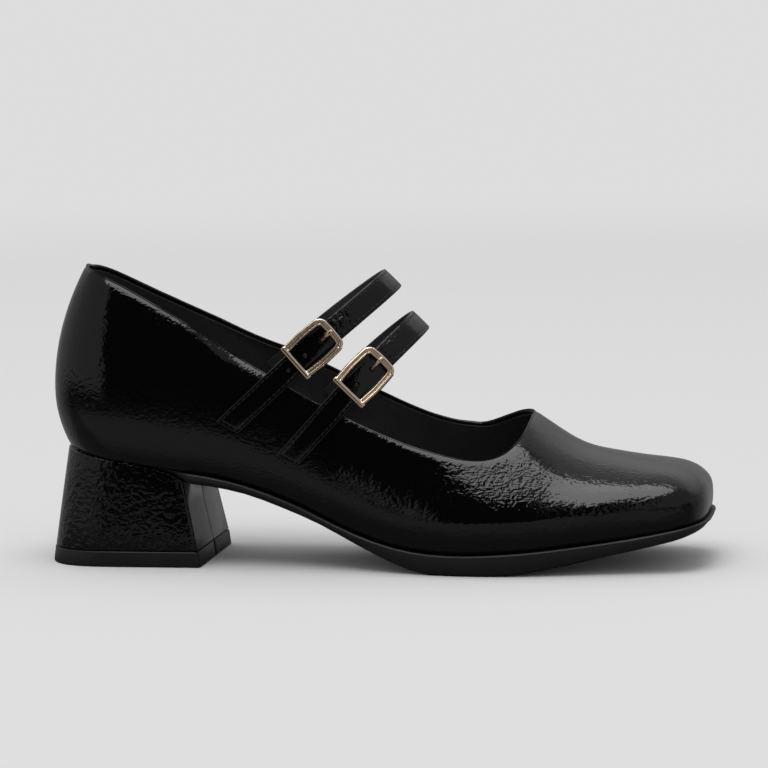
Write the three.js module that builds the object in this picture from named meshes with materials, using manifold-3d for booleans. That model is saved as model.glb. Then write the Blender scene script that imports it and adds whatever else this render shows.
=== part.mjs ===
// A right-foot mary jane court shoe on a flared block heel, with a square toe and
// two narrow instep straps that pass through gold buckles on the outer side.
//
// Millimetres, +Z up, toe towards +X, inner (medial) side towards +Y, outer (lateral)
// side towards -Y. The sole's tread and the heel's top piece stand on Z = 0. While it is
// being shaped, X = 0 is the rearmost point of the upper; at the end the whole group is
// moved so that the origin is the middle of its box, on the floor.
import * as THREE from "three";
import { mergeVertices } from "three/addons/utils/BufferGeometryUtils.js";
import Module from "manifold-3d";

// ---------------------------------------------------------------- driving dimensions
const TOE_X = 247.4; // foremost point of the upper
const GAP = 0.3; // clearance between separate pieces
const WALL = 1.8; // patent leather and lining together
const LASTING_MARGIN = 8; // upper turned in under the insole
const LASTING_RADIUS = 2; // how softly it turns
const INSOLE_THICKNESS = 2.6;
const SOLE_SEAT_THICKNESS = 1.0; // thin tail of the sole above the heel
const HEEL_BACK_X = 1.6; // rearmost point of the upper
const HEEL_CENTRE_X = 30; // where the round heel end begins
const TOE_CENTRE_X = 228; // where the square toe end begins
const HEEL_ROUNDNESS = 2.25; // superellipse powers of the two ends
const TOE_ROUNDNESS = 3.6;
const FEATHER_INSET_HEEL = 5.2; // feather edge inside the heel's rearmost point
const FEATHER_INSET_TOE = 0.3;
const TUMBLE_POWER = 2.0; // how the wall turns in below its widest line

// Sections of the last, from heel to toe. outer and inner are half-widths either side
// of Y = 0: at the feather edge where the upper meets the sole, and at the widest line,
// which lies belly above it. crest is the height of the (partly imaginary) ridge over
// the foot, ridge its place in Y. power and fullness shape the arch between them.
const SECTIONS = [
  { x: 0, featherOuter: 25, featherInner: 25, outer: 29.5, inner: 29.5, belly: 20, crest: 135.5, ridge: 0, power: 1.0, fullness: 1.0 },
  { x: 30, featherOuter: 26.6, featherInner: 26.4, outer: 30.6, inner: 30.4, belly: 19.5, crest: 134.5, ridge: 0, power: 1.0, fullness: 1.0 },
  { x: 60, featherOuter: 27.2, featherInner: 26.0, outer: 31.2, inner: 30.0, belly: 18.5, crest: 130, ridge: 0, power: 1.0, fullness: 1.0 },
  { x: 85, featherOuter: 27.4, featherInner: 22.5, outer: 31.0, inner: 27.8, belly: 16.5, crest: 124, ridge: 0, power: 1.05, fullness: 1.0 },
  { x: 110, featherOuter: 30.0, featherInner: 22.0, outer: 33.2, inner: 27.6, belly: 14.5, crest: 112, ridge: 0.5, power: 1.25, fullness: 0.8 },
  { x: 135, featherOuter: 35.5, featherInner: 27.5, outer: 38.4, inner: 31.8, belly: 12.5, crest: 92, ridge: 1, power: 1.5, fullness: 0.5 },
  { x: 155, featherOuter: 39.4, featherInner: 33.6, outer: 42.2, inner: 36.6, belly: 12, crest: 74, ridge: 1.5, power: 1.8, fullness: 0.3 },
  { x: 168, featherOuter: 40.3, featherInner: 36.4, outer: 43.0, inner: 39.2, belly: 11.8, crest: 64.5, ridge: 2, power: 1.95, fullness: 0.25 },
  { x: 182, featherOuter: 39.4, featherInner: 37.8, outer: 42.0, inner: 40.4, belly: 11.5, crest: 55.4, ridge: 2, power: 2.0, fullness: 0.3 },
  { x: 200, featherOuter: 36.2, featherInner: 37.0, outer: 38.6, inner: 39.4, belly: 11, crest: 43.7, ridge: 2.2, power: 2.1, fullness: 0.45 },
  { x: 218, featherOuter: 32.8, featherInner: 35.2, outer: 34.6, inner: 37.0, belly: 10, crest: 39.3, ridge: 2.4, power: 2.4, fullness: 0.7 },
  { x: 232, featherOuter: 30.2, featherInner: 33.4, outer: 31.2, inner: 34.4, belly: 8.5, crest: 37.2, ridge: 2.4, power: 2.8, fullness: 0.95 },
  { x: 248, featherOuter: 27.0, featherInner: 30.6, outer: 27.8, inner: 31.4, belly: 7, crest: 35.8, ridge: 2.4, power: 3.0, fullness: 1.0 },
];

// Side profile of the last's bottom (the sole's upper face) and of the tread below it.
const BOTTOM_PROFILE = [
  { x: 0, seat: 44.7 }, { x: 11, seat: 42.9 }, { x: 26, seat: 40.0 }, { x: 46, seat: 36.8 },
  { x: 66, seat: 34.0 }, { x: 80, seat: 30.5 }, { x: 97, seat: 24.4 }, { x: 107, seat: 19.8 },
  { x: 117, seat: 15.4 }, { x: 127, seat: 11.9 }, { x: 136, seat: 9.6 }, { x: 146, seat: 8.2 },
  { x: 158, seat: 7.8 }, { x: 172, seat: 8.3 }, { x: 186, seat: 9.3 }, { x: 200, seat: 10.8 },
  { x: 218, seat: 13.1 }, { x: 234, seat: 15.8 }, { x: 248, seat: 18.5 },
];
const TREAD_PROFILE = [
  { x: 58, tread: 31.1 }, { x: 68, tread: 29.8 }, { x: 80, tread: 27.0 }, { x: 97, tread: 20.8 },
  { x: 107, tread: 16.6 }, { x: 115, tread: 12.6 }, { x: 124, tread: 8.2 }, { x: 134, tread: 3.9 },
  { x: 142, tread: 1.3 }, { x: 150, tread: 0 }, { x: 172, tread: 0 }, { x: 184, tread: 1.3 },
  { x: 196, tread: 3.5 }, { x: 210, tread: 6.4 }, { x: 224, tread: 9.2 }, { x: 236, tread: 11.9 },
  { x: 244, tread: 14.4 }, { x: 250, tread: 16.8 },
];

// Height of the topline along each side, from the back of the heel to the throat.
const TOPLINE = [
  { x: 10, outer: 111.6, inner: 111.6 }, { x: 16, outer: 110.4, inner: 109.4 },
  { x: 30, outer: 105.0, inner: 101.8 }, { x: 45, outer: 97.2, inner: 94.6 },
  { x: 60, outer: 88.8, inner: 87.8 }, { x: 76, outer: 79.0, inner: 81.2 },
  { x: 88, outer: 71.9, inner: 76.4 }, { x: 100, outer: 65.1, inner: 70.9 },
  { x: 116, outer: 57.0, inner: 63.0 }, { x: 136, outer: 48.6, inner: 53.6 },
  { x: 148, outer: 44.8, inner: 49.6 }, { x: 158, outer: 42.3, inner: 48.2 },
];
const THROAT_START_X = 158;
const THROAT_X = 182.5; // foremost point of the topline, on the ridge
const THROAT_POWER = { outer: 3.0, inner: 1.72 }; // superellipse powers of its two halves

// ---------------------------------------------------------------- small mathematics
// A smooth curve through the named column of a table, as a function of x.
function column(rows, key) {
  const n = rows.length;
  const slope = rows.map((row, i) => {
    const a = rows[Math.max(0, i - 1)];
    const b = rows[Math.min(n - 1, i + 1)];
    return (b[key] - a[key]) / (b.x - a.x);
  });
  return (x) => {
    if (x <= rows[0].x) return rows[0][key] + slope[0] * (x - rows[0].x);
    if (x >= rows[n - 1].x) return rows[n - 1][key] + slope[n - 1] * (x - rows[n - 1].x);
    const i = rows.findIndex((row) => row.x > x) - 1;
    const span = rows[i + 1].x - rows[i].x;
    const t = (x - rows[i].x) / span;
    const t2 = t * t;
    const t3 = t2 * t;
    return (2 * t3 - 3 * t2 + 1) * rows[i][key] + (t3 - 2 * t2 + t) * span * slope[i] +
      (3 * t2 - 2 * t3) * rows[i + 1][key] + (t3 - t2) * span * slope[i + 1];
  };
}
const last = {};
for (const key of Object.keys(SECTIONS[0])) last[key] = column(SECTIONS, key);
const seat = column(BOTTOM_PROFILE, "seat");
const treadForward = column(TREAD_PROFILE, "tread");
const toplineHeight = { outer: column(TOPLINE, "outer"), inner: column(TOPLINE, "inner") };

const clamp = THREE.MathUtils.clamp;
const lerp = THREE.MathUtils.lerp;
const smooth = THREE.MathUtils.smoothstep;

// Finds where a falling function of r in 0..1 meets the target.
function solveFalling(f, target) {
  let low = 0;
  let high = 1;
  for (let i = 0; i < 40; i++) {
    const mid = (low + high) / 2;
    if (f(mid) > target) low = mid;
    else high = mid;
  }
  return (low + high) / 2;
}

// ---------------------------------------------------------------- the last
// Height share of the arch at a share r of the way from the ridge (0) to the widest line (1).
function archShare(x, r) {
  const left = Math.max(0, 1 - Math.pow(clamp(r, 0, 1), last.power(x)));
  return last.fullness(x) * Math.sqrt(left) + (1 - last.fullness(x)) * left;
}
const widestHeight = (x) => seat(x) + last.belly(x);
const archHeight = (x, r) => widestHeight(x) + (last.crest(x) - widestHeight(x)) * archShare(x, r);
const spineX = (x) => clamp(x, HEEL_CENTRE_X, TOE_CENTRE_X);

// Points round the shoe are named by an angle-like number: 0 at the toe's front, through
// the outer side to 0.5 at the heel's back, and on along the inner side to 1.
const TOE_SHARE = 0.1; // share of half the way round that the toe end takes
const HEEL_SHARE = 0.2;

// A point at a share r of the way out to an outline. level is "feather" or "widest".
function planPoint(around, r, level) {
  const inner = around > 0.5;
  const s = (inner ? 1 - around : around) * 2;
  const feather = level === "feather";
  const side = inner ? 1 : -1;
  const width = feather ? (inner ? last.featherInner : last.featherOuter) : inner ? last.inner : last.outer;
  let x;
  let swing = 1;
  if (s < TOE_SHARE) {
    const angle = (s / TOE_SHARE) * (Math.PI / 2);
    const reach = TOE_X - TOE_CENTRE_X - (feather ? FEATHER_INSET_TOE : 0);
    x = TOE_CENTRE_X + r * reach * Math.pow(Math.cos(angle), 2 / TOE_ROUNDNESS);
    swing = Math.pow(Math.sin(angle), 2 / TOE_ROUNDNESS);
  } else if (s > 1 - HEEL_SHARE) {
    const angle = ((1 - s) / HEEL_SHARE) * (Math.PI / 2);
    const reach = HEEL_CENTRE_X - HEEL_BACK_X - (feather ? FEATHER_INSET_HEEL : 0);
    x = HEEL_CENTRE_X - r * reach * Math.pow(Math.cos(angle), 2 / HEEL_ROUNDNESS);
    swing = Math.pow(Math.sin(angle), 2 / HEEL_ROUNDNESS);
  } else {
    x = lerp(TOE_CENTRE_X, HEEL_CENTRE_X, (s - TOE_SHARE) / (1 - TOE_SHARE - HEEL_SHARE));
  }
  const half = width(x) - side * last.ridge(x);
  return new THREE.Vector2(x, last.ridge(x) + side * r * half * swing);
}

// How far out a plan point lies: 0 on the spine, 1 on the widest line.
function planShare(p) {
  const side = p.y > last.ridge(p.x) ? 1 : -1;
  const width = side > 0 ? last.inner(p.x) : last.outer(p.x);
  const across = Math.abs(p.y - last.ridge(p.x)) / (width - side * last.ridge(p.x));
  if (p.x > TOE_CENTRE_X) return norm((p.x - TOE_CENTRE_X) / (TOE_X - TOE_CENTRE_X), across, TOE_ROUNDNESS);
  if (p.x < HEEL_CENTRE_X) return norm((HEEL_CENTRE_X - p.x) / (HEEL_CENTRE_X - HEEL_BACK_X), across, HEEL_ROUNDNESS);
  return across;
}
const norm = (a, b, n) => Math.pow(Math.pow(a, n) + Math.pow(b, n), 1 / n);
const lastHeight = (p) => archHeight(p.x, planShare(p));

// ---------------------------------------------------------------- curves round the shoe
// The topline in plan, from the throat (0) past the outer side and the heel's back (0.5)
// to the throat again (1), as a dense list of points with their place round the shoe.
function toplinePlan() {
  const half = (side) => {
    const inner = side === "inner";
    const sign = inner ? 1 : -1;
    const points = [];
    const width = (x) => (inner ? last.inner(x) : last.outer(x)) - sign * last.ridge(x);
    const sideShare = (x) => solveFalling((r) => archHeight(x, r), toplineHeight[side](x));
    const start = sideShare(THROAT_START_X) * width(THROAT_START_X);
    for (let i = 0; i <= 60; i++) {
      const angle = (i / 60) * (Math.PI / 2);
      const x = lerp(THROAT_START_X, THROAT_X, Math.pow(Math.cos(angle), 2 / THROAT_POWER[side]));
      const y = start * Math.pow(Math.sin(angle), 2 / THROAT_POWER[side]);
      points.push(new THREE.Vector2(x, last.ridge(x) + sign * y));
    }
    for (let x = THROAT_START_X - 1; x > HEEL_CENTRE_X; x -= 1) {
      points.push(new THREE.Vector2(x, last.ridge(x) + sign * sideShare(x) * width(x)));
    }
    for (let i = 0; i <= 60; i++) {
      const s = 1 - HEEL_SHARE * (1 - i / 60);
      const around = inner ? 1 - s / 2 : s / 2;
      const r = solveFalling((q) => {
        const p = planPoint(around, q, "widest");
        return lastHeight(p) - toplineHeight[side](p.x);
      }, 0);
      points.push(planPoint(around, r, "widest"));
    }
    return points;
  };
  return { outer: half("outer"), inner: half("inner") };
}

// Running length along a list of points.
function lengths(points) {
  const run = [0];
  for (let i = 1; i < points.length; i++) run.push(run[i - 1] + points[i].distanceTo(points[i - 1]));
  return run;
}
// The same, with every turn counted as extra length, so that curved parts get more points.
const TURN_LENGTH = 9; // millimetres for each radian
function lengthsAndTurns(points) {
  const run = [0];
  for (let i = 1; i < points.length; i++) {
    const step = points[i].clone().sub(points[i - 1]);
    const next = points[Math.min(i + 1, points.length - 1)].clone().sub(points[i]);
    const turn = next.length() > 1e-6 && step.length() > 1e-6 ? step.angleTo(next) : 0;
    run.push(run[i - 1] + step.length() + TURN_LENGTH * turn);
  }
  return run;
}
function along(points, run, distance) {
  let i = run.findIndex((value) => value >= distance);
  if (i < 0) i = run.length - 1;
  if (i === 0) return points[0].clone();
  return points[i - 1].clone().lerp(points[i], (distance - run[i - 1]) / (run[i] - run[i - 1]));
}
const indexAlong = (run, distance) => {
  let i = run.findIndex((value) => value >= distance);
  if (i < 0) i = run.length - 1;
  if (i === 0) return 0;
  return i - 1 + (distance - run[i - 1]) / (run[i] - run[i - 1]);
};

// Each row of the upper's surface joins a topline point to a point of the widest line.
// Beside the quarters the two lie abreast; past FAN_X the rows fan out over the vamp.
const FAN_X = 108;
const HALF_ROWS = 56; // rows along each side
const topline = toplinePlan();

function rowsOfSide(side) {
  const inner = side === "inner";
  const top = topline[side];
  const topRun = lengths(top);
  const dense = 1200;
  const widest = [];
  for (let i = 0; i <= dense; i++) {
    const s = i / dense;
    widest.push(planPoint(inner ? 1 - s / 2 : s / 2, 1, "widest"));
  }
  const widestRun = lengths(widest);
  const topFan = topRun[top.findIndex((p) => p.x < FAN_X)];
  const widestFan = widestRun[widest.findIndex((p) => p.x < FAN_X)];
  const stretch = (widestFan - topFan) / (topFan * topFan);
  // Length along the widest line that belongs to a length along the topline.
  const partner = (t) => {
    if (t < topFan) {
      const back = topFan - t;
      return widestFan - back - stretch * back * back;
    }
    const share = (t - topFan) / (topRun.at(-1) - topFan);
    return lerp(widestFan, widestRun.at(-1), share);
  };
  // Rows are spaced evenly in a mean of the two lengths.
  const steps = 2000;
  const blend = [];
  for (let i = 0; i <= steps; i++) {
    const t = (i / steps) * topRun.at(-1);
    blend.push(0.4 * t + 0.6 * partner(t));
  }
  const rows = [];
  for (let k = 0; k <= HALF_ROWS; k++) {
    const t = (indexAlong(blend, (k / HALF_ROWS) * blend.at(-1)) / steps) * topRun.at(-1);
    const s = indexAlong(widestRun, partner(t)) / dense;
    rows.push({ around: inner ? 1 - s / 2 : s / 2, top: along(top, topRun, t) });
  }
  return rows;
}
const outerRows = rowsOfSide("outer");
const innerRows = rowsOfSide("inner");
const rows = [...outerRows, ...innerRows.slice(1, -1).reverse()];

// ---------------------------------------------------------------- surfaces and solids
const OUTER_STEPS = 11; // points up each row, lasting margin left out

function insetTowardsSpine(p, distance) {
  const spine = new THREE.Vector2(spineX(p.x), last.ridge(spineX(p.x)));
  const towards = spine.sub(p);
  return p.clone().addScaledVector(towards.normalize(), distance);
}

// The outside of the upper along one row, from the lasting margin to the topline.
function upperRow(row) {
  const feather = planPoint(row.around, 1, "feather");
  const widest = planPoint(row.around, 1, "widest");
  const margin = insetTowardsSpine(feather, LASTING_MARGIN);
  const turn = insetTowardsSpine(feather, LASTING_RADIUS);
  const dense = [];
  const push = (p, z) => dense.push(new THREE.Vector3(p.x, p.y, z));
  for (let i = 1; i <= 24; i++) {
    const t = i / 24;
    const belly = last.belly(widest.x);
    const p = feather.clone().lerp(widest, 1 - Math.pow(1 - t, TUMBLE_POWER));
    const soft = LASTING_RADIUS * Math.pow(Math.max(0, 1 - (t * belly) / LASTING_RADIUS), 2) * 0.5;
    push(insetTowardsSpine(p, soft), seat(p.x) + t * belly);
  }
  for (let i = 1; i <= 80; i++) {
    const t = i / 80;
    const p = widest.clone().lerp(row.top, t * t);
    push(p, lastHeight(p));
  }
  const start = new THREE.Vector3(turn.x, turn.y, seat(turn.x));
  const path = [start, ...dense];
  const run = lengthsAndTurns(path);
  const points = [new THREE.Vector3(margin.x, margin.y, seat(margin.x))];
  for (let i = 0; i <= OUTER_STEPS; i++) {
    points.push(along(path, run, run.at(-1) * i / OUTER_STEPS));
  }
  return points;
}

// A closed solid from rings of equal length, each ring joined to the next. With
// closed = true the last ring is joined to the first, as on a tube bent into a loop.
function skin(rings, closed = false) {
  const n = rings[0].length;
  const positions = [];
  const index = [];
  for (const ring of rings) for (const p of ring) positions.push(p.x, p.y, p.z);
  const count = closed ? rings.length : rings.length - 1;
  for (let r = 0; r < count; r++) {
    const a = r * n;
    const b = ((r + 1) % rings.length) * n;
    for (let i = 0; i < n; i++) {
      const j = (i + 1) % n;
      index.push(a + i, a + j, b + j, a + i, b + j, b + i);
    }
  }
  const geometry = new THREE.BufferGeometry();
  geometry.setAttribute("position", new THREE.Float32BufferAttribute(positions, 3));
  geometry.setIndex(index);
  return weld(geometry);
}

// Merges shared vertices, drops triangles that collapse, and turns faces outwards.
function weld(geometry) {
  const merged = mergeVertices(geometry, 2e-3);
  const index = [];
  const old = merged.index.array;
  for (let i = 0; i < old.length; i += 3) {
    const [a, b, c] = [old[i], old[i + 1], old[i + 2]];
    if (a !== b && b !== c && c !== a) index.push(a, b, c);
  }
  const at = merged.attributes.position;
  const p = (i) => new THREE.Vector3().fromBufferAttribute(at, i);
  let volume = 0;
  for (let i = 0; i < index.length; i += 3) {
    volume += p(index[i]).dot(p(index[i + 1]).cross(p(index[i + 2])));
  }
  if (volume < 0) for (let i = 0; i < index.length; i += 3) [index[i], index[i + 1]] = [index[i + 1], index[i]];
  merged.setIndex(index);
  merged.computeVertexNormals();
  return merged;
}

// Normals of a grid of rows that closes on itself sideways.
function gridNormals(grid) {
  const n = grid.length;
  return grid.map((row, k) => row.map((p, i) => {
    const before = grid[(k + n - 1) % n][i];
    const after = grid[(k + 1) % n][i];
    const down = row[Math.max(0, i - 1)];
    const up = row[Math.min(row.length - 1, i + 1)];
    return new THREE.Vector3().subVectors(up, down).cross(new THREE.Vector3().subVectors(after, before)).normalize();
  }));
}

// ---------------------------------------------------------------- upper
const outerGrid = rows.map(upperRow);
const outerNormals = gridNormals(outerGrid);

function makeUpper() {
  const columns = outerGrid[0].length;
  const ring = (i, depth) => outerGrid.map((row, k) => row[i].clone().addScaledVector(outerNormals[k][i], -depth));
  const rings = [];
  for (let i = 0; i < columns; i++) rings.push(ring(i, 0));
  for (const i of [columns - 1, columns - 3, columns - 5, columns - 7, 4, 3, 2, 1, 0]) rings.push(ring(i, WALL));
  return skin(rings, true);
}

// ---------------------------------------------------------------- insole and sole
const INSOLE_SIDE_GAP = 0.75;
const SOLE_OVERHANG = 1.0; // sole edge outside the feather edge
const SOLE_OVERHANG_TOE = 1.3; // the same at the toe
const SOLE_RECESS = 4.2; // sole edge inside the feather edge, within the heel's rim
const SOLE_BEVEL = 0.5;
const SOLE_BREAST_THICKNESS = 3.85;
const BREAST_RAMP = { from: 50, to: 58 }; // where the sole thins towards the heel seat

// Underside of the sole: thin above the heel, then the tread's own profile.
function soleUnder(x) {
  const seatThickness = lerp(SOLE_SEAT_THICKNESS, SOLE_BREAST_THICKNESS, smooth(x, BREAST_RAMP.from, BREAST_RAMP.to));
  const thin = seat(x) - GAP - seatThickness;
  return x < BREAST_RAMP.to ? thin : Math.max(0, treadForward(x));
}
const soleTop = (x) => seat(x) - GAP;

// Moves a point of the feather edge outwards (or inwards, when negative).
function outset(around, distance) {
  const here = planPoint(around, 1, "feather");
  const a = planPoint((around + 0.9985) % 1, 1, "feather");
  const b = planPoint((around + 0.0015) % 1, 1, "feather");
  const run = b.sub(a).normalize();
  return new THREE.Vector2(here.x - run.y * distance, here.y + run.x * distance);
}
// Places round the shoe for the sole and insole, the same on both sides, so that rings
// can close along the spine.
const ROUND = [];
for (let i = 0; i <= 8; i++) ROUND.push((TOE_SHARE * i) / 8);
const SIDE_STEPS = [
  220, 212, 204, 197, 190, 183, 176, 169, 162, 155, 148, 141, 134, 127, 120, 113, 106, 99, 92, 85, 78, 71, 64,
  58, 56, 54, 52, 50, 44, 37, 30,
];
for (const x of SIDE_STEPS) {
  ROUND.push(THREE.MathUtils.mapLinear(x, TOE_CENTRE_X, HEEL_CENTRE_X, TOE_SHARE, 1 - HEEL_SHARE));
}
for (let i = 1; i <= 8; i++) ROUND.push(lerp(1 - HEEL_SHARE, 1, i / 8));
const AROUND = [...ROUND.map((s) => s / 2), ...ROUND.slice(1, -1).reverse().map((s) => 1 - s / 2)];

// A ring of points a share r of the way from the spine to an outset feather edge.
function soleRing(distance, r, height) {
  return AROUND.map((around) => {
    const edge = outset(around, distance(around));
    const spineAt = spineX(planPoint(around, 1, "feather").x);
    const p = new THREE.Vector2(spineAt, last.ridge(spineAt)).lerp(edge, r);
    return new THREE.Vector3(p.x, p.y, height(p.x));
  });
}

function makeOutsole() {
  const ahead = (around) => smooth(planPoint(around, 1, "feather").x, BREAST_RAMP.from - 4, BREAST_RAMP.to);
  const overhang = (extra) => (around) => {
    const front = smooth(planPoint(around, 1, "feather").x, TOE_CENTRE_X, TOE_X);
    const full = lerp(SOLE_OVERHANG, SOLE_OVERHANG_TOE, front);
    return lerp(-SOLE_RECESS, full, ahead(around)) + extra * ahead(around);
  };
  const rings = [];
  for (const r of [0, 0.5]) rings.push(soleRing(overhang(-SOLE_BEVEL), r, soleTop));
  rings.push(soleRing(overhang(-SOLE_BEVEL), 1, soleTop));
  rings.push(soleRing(overhang(0), 1, (x) => soleTop(x) - SOLE_BEVEL));
  rings.push(soleRing(overhang(-0.1), 1, (x) => lerp(soleTop(x), soleUnder(x), 0.5)));
  rings.push(soleRing(overhang(-0.9), 1, (x) => soleUnder(x) + 0.7 * smooth(x, BREAST_RAMP.from, BREAST_RAMP.to)));
  rings.push(soleRing(overhang(-1.8), 1, soleUnder));
  for (const r of [0.5, 0]) rings.push(soleRing(overhang(-1.8), r, soleUnder));
  return skin(rings);
}

// The insole lies on the lasting margin and fills the space inside it.
function makeInsole() {
  const above = (p) => p.z - seat(p.x);
  const wallAt = (k, depth) => {
    const wall = outerGrid[k].map((p, i) => p.clone().addScaledVector(outerNormals[k][i], -WALL)).slice(2);
    const i = Math.max(1, wall.findIndex((p) => above(p) > depth));
    const t = clamp((depth - above(wall[i - 1])) / (above(wall[i]) - above(wall[i - 1])), 0, 1);
    const at = wall[i - 1].clone().lerp(wall[i], t);
    return new THREE.Vector2(at.x, at.y);
  };
  const inside = (depth) => AROUND.map((around) => {
    const next = rows.findIndex((row) => row.around > around);
    const k = next < 1 ? rows.length - 1 : next - 1;
    const after = next < 0 ? 1 : rows[next].around;
    const share = (around - rows[k].around) / (after - rows[k].around);
    const at = wallAt(k, depth).lerp(wallAt((k + 1) % rows.length, depth), share);
    return insetTowardsSpine(at, INSOLE_SIDE_GAP);
  });
  const base = WALL + GAP + 0.25;
  const low = inside(base);
  const high = inside(base + INSOLE_THICKNESS);
  const margin = AROUND.map((around) => insetTowardsSpine(planPoint(around, 1, "feather"), LASTING_MARGIN + 1.2));
  const ring = (points, r, rise) => points.map((edge, i) => {
    const spineAt = spineX(planPoint(AROUND[i], 1, "feather").x);
    const p = new THREE.Vector2(spineAt, last.ridge(spineAt)).lerp(edge, r);
    return new THREE.Vector3(p.x, p.y, seat(p.x) + rise);
  });
  const top = base + INSOLE_THICKNESS;
  return skin([
    ring(margin, 0, 0), ring(margin, 1, 0), ring(margin, 1, base), ring(low, 1, base),
    ring(high, 1, top - 0.5), ring(high, 0.985, top), ring(high, 0.5, top), ring(high, 0, top),
  ]);
}

// ---------------------------------------------------------------- heel
const TOP_PIECE_HEIGHT = 5.8;
const TOP_PIECE_PROUD = 0.2;
const RIM_FADE = { from: 41, to: 48 }; // the heel's rim round the sole's tail ends here
const HEEL_CORNER = 1.4; // rounding of the two breast corners
const HEEL_POINTS = 14; // points round each side of the back
const NOTCH = { width: 2.4, depth: 1.2 }; // in the front of the top piece
// The covered block, at its top and at its foot.
const HEEL_LEVELS = [
  { at: "top", back: 6.6, breast: 54.8, half: 25.8, centre: 32, power: 2.5 },
  { at: "foot", back: 1.2, breast: 60.1, half: 27.8, centre: 30, power: 2.9 },
];
function heelOutline(t, outwards) {
  const mix = (key) => lerp(HEEL_LEVELS[0][key], HEEL_LEVELS[1][key], t);
  const half = mix("half") + outwards;
  const breast = mix("breast") + outwards;
  const back = mix("back") - outwards;
  const side = [];
  for (let i = 0; i <= 3; i++) {
    const angle = (i / 3) * (Math.PI / 2);
    side.push([breast - HEEL_CORNER * (1 - Math.cos(angle)), half - HEEL_CORNER * (1 - Math.sin(angle))]);
  }
  for (let i = 1; i <= 3; i++) side.push([lerp(breast - HEEL_CORNER, mix("centre"), i / 3), half]);
  for (let i = 1; i <= HEEL_POINTS; i++) {
    const angle = (1 - i / HEEL_POINTS) * (Math.PI / 2);
    const reach = mix("centre") - back;
    side.push([
      mix("centre") - reach * Math.pow(Math.cos(angle), 2 / mix("power")),
      half * Math.pow(Math.sin(angle), 2 / mix("power")),
    ]);
  }
  const outer = side.map(([x, y]) => new THREE.Vector2(x, -y));
  const inner = side.slice(0, -1).reverse().map(([x, y]) => new THREE.Vector2(x, y));
  return [...outer, ...inner];
}
const HEEL_MIDDLE = new THREE.Vector2(38, 0);
const heelRing = (t, outwards, r, height) => heelOutline(t, outwards).map((edge) => {
  const p = HEEL_MIDDLE.clone().lerp(edge, r);
  return new THREE.Vector3(p.x, p.y, height(p.x));
});
function makeHeelBlock() {
  const top = (x) => soleUnder(x) - GAP - 0.2;
  const foot = () => TOP_PIECE_HEIGHT + GAP;
  const rim = (x) => lerp(seat(x) - GAP, top(x), smooth(x, RIM_FADE.from, RIM_FADE.to));
  const rings = [0, 0.3, 0.5, 0.65, 0.78, 0.9].map((r) => heelRing(0, 0, r, top));
  rings.push(heelRing(0, 0, 0.925, rim), heelRing(0, -0.4, 1, rim));
  for (const t of [0, 0.33, 0.67, 1]) {
    rings.push(heelRing(t, 0, 1, (x) => lerp(rim(x) - 0.25 * (1 - t), foot(x), t)));
  }
  rings.push(heelRing(1, 0, 0, foot));
  return skin(rings);
}
function makeTopPiece() {
  const high = () => TOP_PIECE_HEIGHT;
  const low = () => 0;
  const proud = TOP_PIECE_PROUD;
  const body = skin([
    heelRing(1, proud, 0, high), heelRing(1, proud - 0.3, 1, high), heelRing(1, proud, 1, () => TOP_PIECE_HEIGHT - 0.3),
    heelRing(1.12, proud, 1, () => 0.4), heelRing(1.12, proud - 0.4, 1, low), heelRing(1.12, proud, 0, low),
  ]);
  const cut = new THREE.BoxGeometry(NOTCH.depth * 2, NOTCH.width, 20);
  cut.translate(HEEL_LEVELS[1].breast + proud + 0.7, 0, 5);
  return subtract(body, cut);
}

// ---------------------------------------------------------------- straps
const STRAP_WIDTH = 9;
const STRAP_THICKNESS = 1.9;
const STRAP_EDGE = 0.5; // rounding of the folded edges
// Each strap's middle line: the sewn square end on the outer quarter, the place of the
// buckle, and the highest point above the instep. lean is the strap's slope in side view.
const STRAPS = [
  { name: "rear", endX: 73.1, endZ: 52.9, crossX: 95, buckle: 42.6, apexX: 129.5, apexZ: 104.4, apexY: 1, medialX: 88.5, tab: 11 },
  { name: "front", endX: 95.5, endZ: 40.8, crossX: 115.5, buckle: 41.6, apexX: 139.8, apexZ: 88.9, apexY: 1, medialX: 109.5, tab: 10 },
];
const END_SLANT = THREE.MathUtils.degToRad(18); // of the sewn square end
const TAB_GAP = 0.9; // further room behind the tab inside the collar
const OVER = GAP + 0.15 + STRAP_THICKNESS / 2; // middle of a strap above the leather it lies on

// The point of the quarter's outside at a given x and z, and the outward normal there.
function quarter(x, z, side) {
  const sign = side === "inner" ? 1 : -1;
  const depth = (px, pz) => {
    const width = (side === "inner" ? last.inner(px) : last.outer(px)) - sign * last.ridge(px);
    return last.ridge(px) + sign * width * solveFalling((r) => archHeight(px, r), pz);
  };
  const y = depth(x, z);
  const e = 0.5;
  const alongX = new THREE.Vector3(2 * e, depth(x + e, z) - depth(x - e, z), 0);
  const alongZ = new THREE.Vector3(0, depth(x, z + e) - depth(x, z - e), 2 * e);
  const normal = alongX.cross(alongZ).normalize();
  if (normal.y * sign < 0) normal.negate();
  return { point: new THREE.Vector3(x, y, z), normal };
}
function bezier(a, b, c, d, t) {
  const s = 1 - t;
  return a.clone().multiplyScalar(s * s * s).addScaledVector(b, 3 * s * s * t)
    .addScaledVector(c, 3 * s * t * t).addScaledVector(d, t * t * t);
}
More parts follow.
